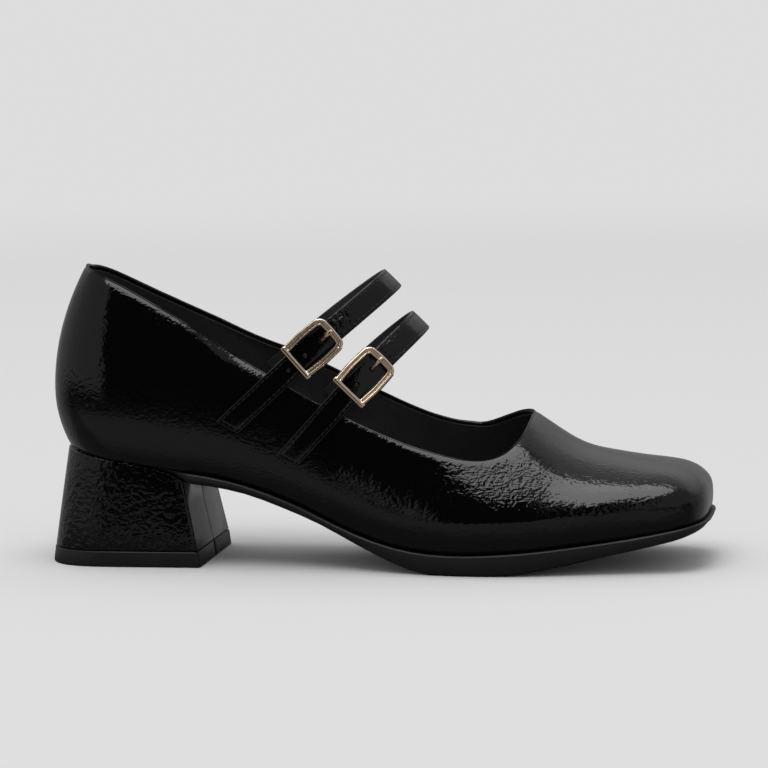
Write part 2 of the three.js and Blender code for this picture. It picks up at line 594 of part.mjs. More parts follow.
// The middle line with a normal at every point, as { point, normal } samples.
function strapPath(strap) {
  const rise = (strap.apexZ - strap.endZ) / (strap.apexX - strap.endX);
  const zOn = (x) => strap.endZ + rise * (x - strap.endX);
  const samples = [];
  const lay = (x, z, side, offset) => {
    const q = quarter(x, z, side);
    return { point: q.point.addScaledVector(q.normal, offset), normal: q.normal };
  };
  const sewn = 7;
  for (let i = 0; i <= sewn; i++) {
    const x = lerp(strap.endX, strap.crossX, i / sewn);
    samples.push(lay(x, zOn(x), "outer", OVER));
  }
  const leave = samples.at(-1);
  const leaveDirection = leave.point.clone().sub(samples.at(-2).point).normalize();
  const apex = new THREE.Vector3(strap.apexX, strap.apexY, strap.apexZ);
  const topZ = toplineHeight.inner(strap.medialX);
  const slope = new THREE.Vector3(-1, 0, -rise).normalize();
  const meet = lay(strap.medialX, topZ - 1, "inner", -WALL - OVER - TAB_GAP);
  const inward = meet.normal.clone().negate();
  const arriveDirection = slope.clone().addScaledVector(inward, -slope.dot(inward)).normalize();
  const over = new THREE.Vector3(-0.06, 1, 0.06).normalize();
  const arch = (a, da, b, db, steps, ha, hb) => {
    const h = a.distanceTo(b);
    for (let i = 1; i <= steps; i++) {
      const p = bezier(a, a.clone().addScaledVector(da, h * ha), b.clone().addScaledVector(db, -h * hb), b, i / steps);
      samples.push({ point: p, normal: null });
    }
  };
  arch(leave.point, leaveDirection, apex, over, 14, 0.42, 0.32);
  arch(apex, over, meet.point, arriveDirection, 14, 0.32, 0.42);
  const tabSteps = 3;
  let previous = meet;
  samples[samples.length - 1] = { point: meet.point, normal: meet.normal };
  for (let i = 1; i <= tabSteps; i++) {
    const d = strap.tab * i / tabSteps;
    const q = lay(strap.medialX + arriveDirection.x * d, topZ - 1 + arriveDirection.z * d, "inner", -WALL - OVER - TAB_GAP);
    samples.push(q);
    previous = q;
  }
  return samples;
}
// Adds to every sample its direction and its crosswise direction.
function strapFrames(strap) {
  const samples = strapPath(strap);
  const n = samples.length;
  const across = new THREE.Vector3(0.707, 0.05, -0.707);
  return samples.map((sample, i) => {
    const before = samples[Math.max(0, i - 1)].point;
    const after = samples[Math.min(n - 1, i + 1)].point;
    const direction = after.clone().sub(before).normalize();
    let side = across;
    if (sample.normal) side = direction.clone().cross(sample.normal).normalize();
    if (side.dot(across) < 0) side = side.clone().negate();
    return { point: sample.point, direction, side: side.clone() };
  });
}
function smoothFrames(frames) {
  // The crosswise directions are averaged along the strap, so that it doesn't twist suddenly.
  for (let pass = 0; pass < 6; pass++) {
    const sides = frames.map((f) => f.side.clone());
    for (let i = 1; i < frames.length - 1; i++) {
      frames[i].side.copy(sides[i - 1]).add(sides[i]).add(sides[i]).add(sides[i + 1]).normalize();
    }
  }
  for (const f of frames) {
    f.side.addScaledVector(f.direction, -f.side.dot(f.direction)).normalize();
    f.up = f.side.clone().cross(f.direction).normalize();
  }
  return frames;
}
// A bar of a rounded rectangular or round section along frames; ends are closed flat.
function sweep(frames, section) {
  const rings = frames.map((f) => section.map(([w, h]) => f.point.clone().addScaledVector(f.side, w).addScaledVector(f.up, h)));
  rings[0].forEach((p, i) => p.addScaledVector(frames[0].direction, section[i][0] * Math.tan(END_SLANT)));
  const first = section.map(() => frames[0].point.clone());
  const lastRing = section.map(() => frames.at(-1).point.clone());
  return skin([first, ...rings, lastRing]);
}
const w = STRAP_WIDTH / 2;
const h = STRAP_THICKNESS / 2;
const e = STRAP_EDGE;
const STRAP_SECTION = [
  [-w, -h + e], [-w + e, -h], [w - e, -h], [w, -h + e], [w, h - e], [w - e, h], [-w + e, h], [-w, h - e],
];

// ---------------------------------------------------------------- buckles
const BUCKLE = { back: 8.1, front: 9.3, across: 6.1, corner: 2.9, bow: 0.5, wire: 1.0, bar: 1.05, barHalf: 7.5, centre: -1.2 };
const CENTRE_WIRE = 0.8;
const PRONG_WIRE = 0.65;
const PRONG_HOLE = 4.4; // where the prong comes through the strap, forward of the buckle's middle
const RIDE = STRAP_THICKNESS / 2 + GAP; // free height above and below a strap's middle

// A round wire through a list of [along, across, up] points; closed wires form a loop.
function wire(path, radius, sides, closed = false) {
  const points = path.map(([a, b, c]) => new THREE.Vector3(a, b, c));
  const n = points.length;
  let side = null;
  const rings = points.map((p, i) => {
    const before = closed ? points[(i + n - 1) % n] : points[Math.max(0, i - 1)];
    const after = closed ? points[(i + 1) % n] : points[Math.min(n - 1, i + 1)];
    const direction = after.clone().sub(before).normalize();
    if (!side) side = Math.abs(direction.z) > 0.9 ? new THREE.Vector3(1, 0, 0) : new THREE.Vector3(0, 0, 1);
    side = side.clone().addScaledVector(direction, -side.dot(direction)).normalize();
    const other = direction.clone().cross(side);
    return Array.from({ length: sides }, (_, j) => {
      const angle = ((j + 0.5) / sides) * 2 * Math.PI;
      return p.clone().addScaledVector(side, radius * Math.cos(angle)).addScaledVector(other, radius * Math.sin(angle));
    });
  });
  if (closed) return skin(rings, true);
  return skin([rings[0].map(() => points[0]), ...rings, rings[0].map(() => points[n - 1])]);
}
function buckleFrame() {
  const { back, front: a, across: b, corner: r, bow, centre } = BUCKLE;
  const level = RIDE + BUCKLE.wire;
  const half = [[-back, b, level], [-back * 0.5, b + bow * 0.6, level], [0, b + bow, level], [a - r, b + bow * 0.4, level]];
  for (let i = 1; i <= 4; i++) {
    const angle = (i / 5) * (Math.PI / 2);
    half.push([a - r + r * Math.sin(angle), b - r + r * Math.cos(angle), level]);
  }
  half.push([a, b - r, level], [a + bow * 0.4, 0, level]);
  const mirror = half.slice(0, -1).reverse().map(([x, y, z]) => [x, -y, z]);
  const frame = wire([...half, ...mirror], BUCKLE.wire, 7);
  const bar = wire([[-back, -BUCKLE.barHalf, level], [-back, 0, level], [-back, BUCKLE.barHalf, level]], BUCKLE.bar, 8);
  const low = -RIDE - 2 * PRONG_WIRE - 2 * GAP - CENTRE_WIRE;
  const side = b + bow * 0.7;
  const centreBar = wire([
    [centre, -side, level], [centre, -side, low + 1], [centre, -side + 0.4, low + 0.3], [centre, -side + 1.2, low],
    [centre, side - 1.2, low], [centre, side - 0.4, low + 0.3], [centre, side, low + 1], [centre, side, level],
  ], CENTRE_WIRE, 6);
  return { shapes: [frame, bar, centreBar], low };
}
function prongShapes(low) {
  const { front: a, centre } = BUCKLE;
  const radius = CENTRE_WIRE + GAP + PRONG_WIRE;
  const ring = [];
  for (let i = 0; i < 10; i++) {
    const angle = (i / 10) * 2 * Math.PI;
    ring.push([centre + radius * Math.cos(angle), 0, low + radius * Math.sin(angle)]);
  }
  const level = RIDE + 2 * BUCKLE.wire + GAP + PRONG_WIRE;
  const shank = wire([
    [centre + radius * 0.5, 0, low + radius * 0.86], [centre + 3, 0, low + 2.1], [PRONG_HOLE - 0.7, 0, -0.9],
    [PRONG_HOLE + 0.9, 0, 1.3], [a - 1.9, 0, level - 0.35], [a - 0.6, 0, level], [a + 0.9, 0, level], [a + 1.5, 0, level - 0.1],
  ], PRONG_WIRE, 6);
  return [wire(ring, PRONG_WIRE, 6, true), shank];
}
// Moves a shape made round the origin (x along the strap, y across, z up) onto a strap.
function onStrap(geometry, frame) {
  const basis = new THREE.Matrix4().makeBasis(frame.direction, frame.side.clone().negate(), frame.up);
  return geometry.applyMatrix4(basis.setPosition(frame.point));
}
// The frame at a distance along a strap, with its direction averaged over the buckle's length.
function frameAt(frames, distance) {
  const run = lengths(frames.map((f) => f.point));
  const at = (d) => along(frames.map((f) => f.point), run, d);
  const direction = at(distance + 4).sub(at(distance - 4)).normalize();
  const near = frames[Math.round(indexAlong(run, distance))];
  const side = near.side.clone().addScaledVector(direction, -near.side.dot(direction)).normalize();
  return { point: at(distance), direction, side, up: side.clone().cross(direction).normalize() };
}

// ---------------------------------------------------------------- joins and cuts
const wasm = await Module();
wasm.setup();
function toManifold(geometry) {
  const mesh = new wasm.Mesh({
    numProp: 3,
    vertProperties: new Float32Array(geometry.attributes.position.array),
    triVerts: new Uint32Array(geometry.index.array),
  });
  return new wasm.Manifold(mesh);
}
function fromManifold(solid) {
  const mesh = solid.getMesh();
  const geometry = new THREE.BufferGeometry();
  geometry.setAttribute("position", new THREE.Float32BufferAttribute(mesh.vertProperties, 3));
  geometry.setIndex(Array.from(mesh.triVerts));
  geometry.computeVertexNormals();
  return geometry;
}
function bare(geometry) {
  const plain = geometry.clone();
  plain.deleteAttribute("normal");
  plain.deleteAttribute("uv");
  return weld(plain);
}
function subtract(a, b) {
  return fromManifold(toManifold(bare(a)).subtract(toManifold(bare(b))));
}
function union(shapes) {
  return fromManifold(shapes.map((s) => toManifold(bare(s))).reduce((a, b) => a.add(b)));
}

// ---------------------------------------------------------------- materials
const material = (name, color, roughness, metalness) => {
  const made = new THREE.MeshStandardMaterial({ color, roughness, metalness });
  made.name = name;
  return made;
};
const PATENT = material("patent_leather", 0x0a0a0b, 0.12, 0);
const SOLE_RUBBER = material("sole_rubber", 0x131314, 0.45, 0);
const LINING = material("lining_leather", 0x17171a, 0.7, 0);
const GOLD = material("pale_gold", 0xd9c19a, 0.22, 1);

// ---------------------------------------------------------------- assembly
const group = new THREE.Group();
group.name = "mary_jane_shoe";
function add(name, geometry, surface) {
  const mesh = new THREE.Mesh(geometry, surface);
  mesh.name = name;
  group.add(mesh);
}
add("upper", makeUpper(), PATENT);
add("insole", makeInsole(), LINING);
add("outsole", makeOutsole(), SOLE_RUBBER);
add("heel_block", makeHeelBlock(), PATENT);
add("heel_top_piece", makeTopPiece(), SOLE_RUBBER);
for (const strap of STRAPS) {
  const frames = smoothFrames(strapFrames(strap));
  const place = frameAt(frames, strap.buckle);
  const { shapes, low } = buckleFrame();
  const slot = new THREE.CylinderGeometry(PRONG_WIRE + 0.4, PRONG_WIRE + 0.4, 8, 14);
  slot.rotateX(Math.PI / 2);
  slot.scale(3, 1, 1);
  slot.translate(PRONG_HOLE + 0.1, 0, 0);
  add(`strap_${strap.name}`, subtract(sweep(frames, STRAP_SECTION), onStrap(slot, place)), PATENT);
  add(`buckle_${strap.name}`, onStrap(union(shapes), place), GOLD);
  add(`prong_${strap.name}`, onStrap(union(prongShapes(low)), place), GOLD);
}

// The origin is the middle of the shoe's box, on the floor.
const box = new THREE.Box3();
for (const mesh of group.children) box.expandByObject(mesh);
const middle = box.getCenter(new THREE.Vector3());
for (const mesh of group.children) mesh.geometry.translate(-middle.x, -middle.y, 0);

export default group;
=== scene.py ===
"""Looks of a mary jane court shoe: crinkled patent upper, two buckled instep straps, covered block heel.

Shapes are worked out in shoe sizes: millimetres, X from the back of the heel towards the toe, the outer
side towards -Y, Z up from the floor. place() takes such a point to the frame, in metres.
"""

import math

import bmesh
import bpy
from mathutils import Matrix, Vector, geometry, kdtree, noise


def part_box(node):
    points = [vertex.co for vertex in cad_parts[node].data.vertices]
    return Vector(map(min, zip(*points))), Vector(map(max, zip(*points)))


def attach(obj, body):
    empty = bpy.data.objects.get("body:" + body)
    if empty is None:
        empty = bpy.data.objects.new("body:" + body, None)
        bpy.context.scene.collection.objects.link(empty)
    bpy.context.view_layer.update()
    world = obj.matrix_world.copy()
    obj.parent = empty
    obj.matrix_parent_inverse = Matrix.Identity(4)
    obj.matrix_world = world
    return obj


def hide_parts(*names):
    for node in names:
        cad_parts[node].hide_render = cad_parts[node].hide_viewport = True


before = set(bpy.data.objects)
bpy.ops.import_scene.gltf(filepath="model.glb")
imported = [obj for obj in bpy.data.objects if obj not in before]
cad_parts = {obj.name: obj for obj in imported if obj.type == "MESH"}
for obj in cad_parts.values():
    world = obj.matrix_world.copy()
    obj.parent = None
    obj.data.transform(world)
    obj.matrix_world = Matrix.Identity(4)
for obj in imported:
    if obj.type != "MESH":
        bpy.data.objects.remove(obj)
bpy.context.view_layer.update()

bl_info = {
    "name": "Mary jane shoe",
    "version": (1, 0, 0),
    "blender": (4, 5, 0),
    "location": "3D View > Sidebar > Shoe",
    "description": "Makes the leather, straps, buckles, sole, heel and stage of a mary jane shoe",
    "category": "Add Mesh",
}

MM = 0.001
UPPER_BACK = 1.6  # the upper's rearmost point, in shoe sizes
# The shoe's own zero, in the frame
SHOE_ORIGIN = Vector((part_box("upper")[0].x / MM - UPPER_BACK, 1.2891, 0.0))


def place(point):
    """A point in shoe sizes, in the frame."""
    return (Vector(point) + SHOE_ORIGIN) * MM


def lerp(a, b, t):
    return a + (b - a) * t


def smoothstep(x, low, high):
    t = min(1.0, max(0.0, (x - low) / (high - low)))
    return t * t * (3 - 2 * t)


def rounded(share, bottom):
    """Rises from bottom to 1 along a quarter circle as share goes from 0 to 1."""
    return lerp(bottom, 1.0, math.sqrt(max(0.0, 1 - (1 - min(1.0, share)) ** 2)))


def curve_between(before, a, b, after, t):
    """A point from a (t = 0) to b (t = 1) on the smooth curve through four points."""
    return 0.5 * (
        2 * a
        + (b - before) * t
        + (2 * before - 5 * a + 4 * b - after) * t * t
        + (3 * a - before - 3 * b + after) * t**3
    )


# ---------------------------------------------------------------- the last
# x, outer and inner half-widths at the widest line, height of that line above the sole,
# height of the ridge over the foot, the ridge's place across, and the arch's power and fullness
SECTIONS = (
    (0, 29.5, 29.5, 20, 135.5, 0, 1.0, 1.0),
    (30, 30.6, 30.4, 19.5, 134.5, 0, 1.0, 1.0),
    (60, 31.2, 30.0, 18.5, 130, 0, 1.0, 1.0),
    (85, 31.0, 27.8, 16.5, 124, 0, 1.05, 1.0),
    (110, 33.2, 27.6, 14.5, 112, 0.5, 1.25, 0.8),
    (135, 38.4, 31.8, 12.5, 92, 1, 1.5, 0.5),
    (155, 42.2, 36.6, 12, 74, 1.5, 1.8, 0.3),
)
BOTTOM = (
    (46, 36.8),
    (66, 34.0),
    (80, 30.5),
    (97, 24.4),
    (107, 19.8),
    (117, 15.4),
    (127, 11.9),
    (136, 9.6),
    (146, 8.2),
)
INNER_TOPLINE = ((76, 81.2), (88, 76.4), (100, 70.9), (116, 63.0), (136, 53.6))


def column(rows, k):
    """A smooth curve through column k of a table, as a function of x."""
    n = len(rows)
    ends = [(rows[max(0, i - 1)], rows[min(n - 1, i + 1)]) for i in range(n)]
    slope = [(b[k] - a[k]) / (b[0] - a[0]) for a, b in ends]

    def curve(x):
        if x <= rows[0][0]:
            return rows[0][k] + slope[0] * (x - rows[0][0])
        if x >= rows[-1][0]:
            return rows[-1][k] + slope[-1] * (x - rows[-1][0])
        i = next(j for j, row in enumerate(rows) if row[0] > x) - 1
        span = rows[i + 1][0] - rows[i][0]
        t = (x - rows[i][0]) / span
        u = 1 - t
        return (
            (1 + 2 * t) * u * u * rows[i][k]
            + t * u * u * span * slope[i]
            + t * t * (3 - 2 * t) * rows[i + 1][k]
            - t * t * u * span * slope[i + 1]
        )

    return curve


outer_half, inner_half, belly, crest, ridge, power, fullness = (
    column(SECTIONS, k) for k in range(1, 8)
)
seat = column(BOTTOM, 1)
inner_topline = column(INNER_TOPLINE, 1)


def arch_height(x, share):
    """Height of the last at a share of the way from its ridge (0) to its widest line (1)."""
    widest = seat(x) + belly(x)
    left = max(0.0, 1 - min(1.0, max(0.0, share)) ** power(x))
    full = fullness(x)
    return widest + (crest(x) - widest) * (full * math.sqrt(left) + (1 - full) * left)


def quarter(x, z, side):
    """The last's surface at x and z on the outer (-1) or inner (1) side, and its normal."""

    def across(px, pz):
        half = (inner_half if side > 0 else outer_half)(px) - side * ridge(px)
        low, high = 0.0, 1.0
        for _ in range(40):
            middle = (low + high) / 2
            if arch_height(px, middle) > pz:
                low = middle
            else:
                high = middle
        return ridge(px) + side * half * (low + high) / 2

    step = 0.5
    along_x = Vector((2 * step, across(x + step, z) - across(x - step, z), 0))
    along_z = Vector((0, across(x, z + step) - across(x, z - step), 2 * step))
    normal = along_x.cross(along_z).normalized()
    if normal.y * side < 0:
        normal.negate()
    return Vector((x, across(x, z), z)), normal


# ---------------------------------------------------------------- paths of the straps
WALL = 1.8
STRAP_HALF = 0.95  # half a strap's thickness
STRAPS = {
    "rear": {
        "end": (73.1, 52.9),
        "cross": 95,
        "apex": (129.5, 1, 104.4),
        "inner": 88.5,
        "tab": 11,
        "buckle": 42.6,
        "holes": (-11.6, -3.6),
    },
    "front": {
        "end": (95.5, 40.8),
        "cross": 115.5,
        "apex": (139.8, 1, 88.9),
        "inner": 109.5,
        "tab": 10,
        "buckle": 41.6,
        "holes": (-3.6,),
    },
}
END_SLANT = math.tan(math.radians(18))
STRAP_ACROSS = Vector((0.707, 0.05, -0.707))
ON_LEATHER = STRAP_HALF + 0.1  # a strap's middle above the leather it is sewn to
BEHIND_LINING = WALL + STRAP_HALF + 0.9


def strap_samples(strap):
    """The strap's middle line as points, with the leather's normal where it lies on leather."""
    end_x, end_z = strap["end"]
    apex = Vector(strap["apex"])
    rise = (apex.z - end_z) / (apex.x - end_x)
    samples = []
    for i in range(8):
        x = lerp(end_x, strap["cross"], i / 7)
        point, normal = quarter(x, end_z + rise * (x - end_x), -1)
        samples.append((point + normal * ON_LEATHER, normal))
    leave = samples[-1][0]
    leaving = (leave - samples[-2][0]).normalized()
    top = inner_topline(strap["inner"]) - 1
    meet, normal = quarter(strap["inner"], top, 1)
    meet = meet - normal * BEHIND_LINING
    slope = Vector((-1, 0, -rise)).normalized()
    arriving = (slope - normal * slope.dot(normal)).normalized()
    over = Vector((-0.06, 1, 0.06)).normalized()
    spans = (
        (leave, leaving, apex, over, 0.42, 0.32),
        (apex, over, meet, arriving, 0.32, 0.42),
    )
    for a, going, b, coming, near, far in spans:
        reach = (b - a).length
        handles = (a, a + going * reach * near, b - coming * reach * far, b)
        for i in range(1, 15):
            t = i / 14
            weights = ((1 - t) ** 3, 3 * t * (1 - t) ** 2, 3 * t * t * (1 - t), t**3)
            point = sum((h * k for h, k in zip(handles, weights)), Vector())
            samples.append((point, None))
    samples[-1] = (meet, -normal)
    for i in range(1, 4):
        run = strap["tab"] * i / 3
        point, normal = quarter(
            strap["inner"] + arriving.x * run, top + arriving.z * run, 1
        )
        samples.append((point - normal * BEHIND_LINING, -normal))
    return samples


class Path:
    """A strap's middle line with its crosswise direction, by distance from the sewn end."""

    def __init__(self, strap):
        samples = strap_samples(strap)
        self.points = [p for p, _ in samples]
        n = len(samples)
        self.run = [0.0]
        for a, b in zip(self.points, self.points[1:]):
            self.run.append(self.run[-1] + (b - a).length)
        self.sides = []
        for i, (_, normal) in enumerate(samples):
            ahead = self.points[min(n - 1, i + 1)] - self.points[max(0, i - 1)]
            side = STRAP_ACROSS.copy()
            if normal:
                side = ahead.cross(normal).normalized()
            if side.dot(STRAP_ACROSS) < 0:
                side.negate()
            self.sides.append(side)
        for _ in range(6):
            old = [s.copy() for s in self.sides]
            for i in range(1, n - 1):
                self.sides[i] = (
                    old[i - 1] + old[i] * 2 + old[i + 1]
                ).normalized()
        self.length = self.run[-1]

    def point(self, distance):
        """A point of the smooth curve through the samples; it runs on straight past both ends."""
        points, run = self.points, self.run
        if distance <= 0:
            return points[0] + (points[1] - points[0]).normalized() * distance
        if distance >= run[-1]:
            return points[-1] + (points[-1] - points[-2]).normalized() * (
                distance - run[-1]
            )
        i = next(j for j, r in enumerate(run) if r > distance) - 1
        a, b = points[i], points[i + 1]
        before = points[i - 1] if i else a * 2 - b
        after = points[i + 2] if i + 2 < len(points) else b * 2 - a
        t = (distance - run[i]) / (run[i + 1] - run[i])
        return curve_between(before, a, b, after, t)

    def basis(self, distance, reach=0.6):
        """Point, direction, crosswise and upward directions at a distance."""
        ahead = (
            self.point(distance + reach) - self.point(distance - reach)
        ).normalized()
        d = min(max(distance, 0.0), self.length - 1e-6)
        i = next(j for j, r in enumerate(self.run) if r > d) - 1
        t = (d - self.run[i]) / (self.run[i + 1] - self.run[i])
        side = self.sides[i].lerp(self.sides[i + 1], t)
        side = (side - ahead * side.dot(ahead)).normalized()
        return self.point(distance), ahead, side, side.cross(ahead).normalized()

    def matrix(self, distance, reach=0.6):
        """Takes x along, y across and z up from the strap's middle, in millimetres, to the frame."""
        point, ahead, side, up = self.basis(distance, reach)
        turn = Matrix((ahead, -side, up)).transposed().to_4x4()
        return Matrix.Translation(place(point)) @ turn @ Matrix.Scale(MM, 4)


PATHS = {name: Path(strap) for name, strap in STRAPS.items()}


# ---------------------------------------------------------------- modelling helpers
def alone(obj):
    """Makes obj the only selected object, and the active one."""
    bpy.ops.object.select_all(action="DESELECT")
    obj.select_set(True)
    bpy.context.view_layer.objects.active = obj
    return obj


def edit(obj, *steps):
    """Runs steps on the whole of obj in edit mode."""
    alone(obj)
    bpy.ops.object.mode_set(mode="EDIT")
    bpy.ops.mesh.select_all(action="SELECT")
    for step in steps:
        step()
    bpy.ops.object.mode_set(mode="OBJECT")
    return obj


def modify(obj, kind, **settings):
    """Adds a modifier and applies it."""
    alone(obj)
    made = obj.modifiers.new(kind.title(), kind)
    for name, value in settings.items():
        setattr(made, name, value)
    bpy.ops.object.modifier_apply(modifier=made.name)
    return obj


def subdivide_through(obj, levels, passes=4):
    """Subdivides obj into a smooth surface that still passes through its own corners."""
    mesh = obj.data
    aims = [v.co.copy() for v in mesh.vertices]
    trial = obj.modifiers.new("Trial", "SUBSURF")
    trial.levels = trial.render_levels = levels
    for _ in range(passes):
        graph = bpy.context.evaluated_depsgraph_get()
        graph.update()
        smooth = obj.evaluated_get(graph).data.vertices
        misses = [aim - smooth[i].co for i, aim in enumerate(aims)]
        for v, miss in zip(mesh.vertices, misses):
            v.co += miss
        mesh.update()
    alone(obj)
    bpy.ops.object.modifier_apply(modifier=trial.name)
    return obj


def bevel(obj, width, angle, segments=2):
    return modify(
        obj,
        "BEVEL",
        width=width * MM,
        segments=segments,
        limit_method="ANGLE",
        angle_limit=math.radians(angle),
        harden_normals=False,
    )


def combine(obj, others, operation):
    """Cuts the others from obj, or joins them to it, and removes them."""
    for other in others:
        modify(obj, "BOOLEAN", object=other, operation=operation, solver="EXACT")
        bpy.data.objects.remove(other)
    return obj


def new_object(name, points, faces):
    mesh = bpy.data.meshes.new(name)
    mesh.from_pydata([tuple(p) for p in points], [], faces)
    obj = bpy.data.objects.new(name, mesh)
    bpy.context.scene.collection.objects.link(obj)
    return obj


def rings_solid(name, rings, loop=False):
    """A closed solid through rings of points; loop joins the last ring to the first."""
    n, count = len(rings[0]), len(rings)
    faces = []
    for r in range(count if loop else count - 1):
        a, b = r * n, (r + 1) % count * n
        faces += [(a + i, a + (i + 1) % n, b + (i + 1) % n, b + i) for i in range(n)]
    if not loop:
        faces.append(tuple(reversed(range(n))))
        faces.append(tuple((count - 1) * n + i for i in range(n)))
    obj = new_object(name, [p for ring in rings for p in ring], faces)
    return edit(obj, lambda: bpy.ops.mesh.normals_make_consistent(inside=False))


def merged_copy(node, name, regular=0.0):
    """A copy of a CAD node's mesh with its corners merged and its triangles paired; regular is
    how much a grid of quads is preferred."""
    obj = bpy.data.objects.new(name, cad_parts[node].data.copy())
    bpy.context.scene.collection.objects.link(obj)
    alone(obj)
    if obj.data.has_custom_normals:
        bpy.ops.mesh.customdata_custom_splitnormals_clear()
    for layer in list(obj.data.uv_layers):
        obj.data.uv_layers.remove(layer)
    return edit(
        obj,
        lambda: bpy.ops.mesh.remove_doubles(threshold=0.003 * MM),
        lambda: bpy.ops.mesh.tris_convert_to_quads(
            face_threshold=math.radians(40),
            shape_threshold=math.radians(70),
            topology_influence=regular,
        ),
    )


def choose(obj, kind, test):
    """Selects only the vertices, edges or faces of obj that pass a test."""
    for part in (obj.data.vertices, obj.data.edges, obj.data.polygons):
        part.foreach_set("select", [False] * len(part))
    modes = {"vertices": "VERT", "edges": "EDGE", "polygons": "FACE"}
    alone(obj)
    bpy.ops.object.mode_set(mode="EDIT")
    bpy.ops.mesh.select_mode(type=modes[kind])
    bpy.ops.mesh.select_all(action="DESELECT")
    bpy.ops.object.mode_set(mode="OBJECT")
    for item in getattr(obj.data, kind):
        item.select = test(item)
    return obj


def finish_piece(obj, surface, slot, *nodes, angle=40):
    """Shades obj, gives it its material, and has it ride on the shoe. The slot argument is not used."""
    if surface:
        obj.data.materials.clear()
        obj.data.materials.append(surface)
    alone(obj)
    bpy.ops.object.shade_smooth_by_angle(angle=math.radians(angle))
    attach(obj, "root")
    if nodes:
        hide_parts(*nodes)
    return obj


# ---------------------------------------------------------------- materials
def node(tree, kind, inputs=None, **settings):
    """Adds a node; inputs by name or number are set, or linked where the value is a socket."""
    made = tree.nodes.new(kind)
    for name, value in settings.items():
        setattr(made, name, value)
    for key, value in (inputs or {}).items():
        if isinstance(value, bpy.types.NodeSocket):
            tree.links.new(value, made.inputs[key])
        else:
            made.inputs[key].default_value = value
    return made


def math_node(tree, operation, a, b=0.0, **settings):
    return node(tree, "ShaderNodeMath", {0: a, 1: b}, operation=operation, **settings).outputs[0]


def noise_at(tree, vector, scale, detail, rough=0.5):
    inputs = {"Vector": vector, "Scale": scale, "Detail": detail, "Roughness": rough}
    return node(tree, "ShaderNodeTexNoise", inputs).outputs


def cells_at(tree, vector, scale, smoothness):
    inputs = {"Vector": vector, "Scale": scale, "Smoothness": smoothness}
    return node(tree, "ShaderNodeTexVoronoi", inputs, feature="SMOOTH_F1").outputs["Distance"]


def group_tree(name, inputs, outputs):
    """A new node group with float sockets; "Vector" is a vector."""
    tree = bpy.data.node_groups.new(name, "ShaderNodeTree")
    for label in inputs:
        kind = "NodeSocketVector" if label == "Vector" else "NodeSocketFloat"
        tree.interface.new_socket(label, in_out="INPUT", socket_type=kind)
    for label in outputs:
        tree.interface.new_socket(label, in_out="OUTPUT", socket_type="NodeSocketFloat")
    given = tree.nodes.new("NodeGroupInput").outputs
    result = tree.nodes.new("NodeGroupOutput").inputs
    return tree, given, result


def crinkle_group():
    """Soft irregular wrinkles of a patent coat: rounded cells run together by folded noise."""
    tree, given, result = group_tree(
        "crinkle", ("Vector", "Cells", "Folds", "Calm"), ("Height", "Patches")
    )
    warp = noise_at(tree, given["Vector"], 260.0, 1.0)["Color"]
    warped = node(
        tree,
        "ShaderNodeVectorMath",
        {0: warp, 1: (0.0026, 0.0026, 0.0026), 2: given["Vector"]},
        operation="MULTIPLY_ADD",
    ).outputs[0]
    cells = cells_at(tree, warped, given["Cells"], 0.55)
    folds = node(
        tree,
        "ShaderNodeTexNoise",
        {"Vector": warped, "Scale": given["Folds"], "Detail": 2.5, "Roughness": 0.45, "Distortion": 0.4},
    ).outputs["Fac"]
    patches = noise_at(tree, given["Vector"], 55.0, 1.0)["Fac"]
    strength = range_node(tree, patches, given["Calm"], 1.0, 0.36, 0.64)
    folds = math_node(tree, "MULTIPLY", folds, 1.25)
    mixed = math_node(tree, "SUBTRACT", folds, math_node(tree, "MULTIPLY", cells, 0.55))
    tree.links.new(math_node(tree, "MULTIPLY", mixed, strength), result["Height"])
    tree.links.new(patches, result["Patches"])
    return tree


def grain_group():
    """Fine pebbling with a little dust and handling, for matt leather and rubber."""
    tree, given, result = group_tree("grain", ("Vector", "Cells"), ("Height", "Wear"))
    pebbles = cells_at(tree, given["Vector"], given["Cells"], 0.4)
    fine = noise_at(tree, given["Vector"], 1800.0, 3.0, 0.6)["Fac"]
    wear = noise_at(tree, given["Vector"], 60.0, 4.0, 0.6)["Fac"]
    height = math_node(tree, "ADD", pebbles, math_node(tree, "MULTIPLY", fine, 0.35))
    tree.links.new(height, result["Height"])
    tree.links.new(wear, result["Wear"])
    return tree


def use_group(tree, name, inputs):
    group = bpy.data.node_groups[name]
    return node(tree, "ShaderNodeGroup", inputs, node_tree=group).outputs


def blank_material(name):
    surface = bpy.data.materials.new(name)
    surface.use_nodes = True
    tree = surface.node_tree
    shader = tree.nodes["Principled BSDF"]
    where = tree.nodes.new("ShaderNodeTexCoord").outputs["Object"]
    return surface, tree, shader, where


def range_node(tree, value, low, high, bottom=0.3, top=0.7):
    return node(
        tree, "ShaderNodeMapRange", {"Value": value, 1: bottom, 2: top, 3: low, 4: high}
    ).outputs[0]


def bump_at_depth(tree, shader, height, depth):
    inputs = {"Height": height, "Strength": 1.0, "Distance": depth * MM}
    tree.links.new(node(tree, "ShaderNodeBump", inputs).outputs[0], shader.inputs["Normal"])


def tone_between(tree, shader, share, colour, low, high):
    """Runs the base colour from one multiple of colour to another."""
    ends = {0: share, 6: (*(c * low for c in colour), 1), 7: (*(c * high for c in colour), 1)}
    tone = node(tree, "ShaderNodeMix", ends, data_type="RGBA").outputs[2]
    tree.links.new(tone, shader.inputs["Base Color"])


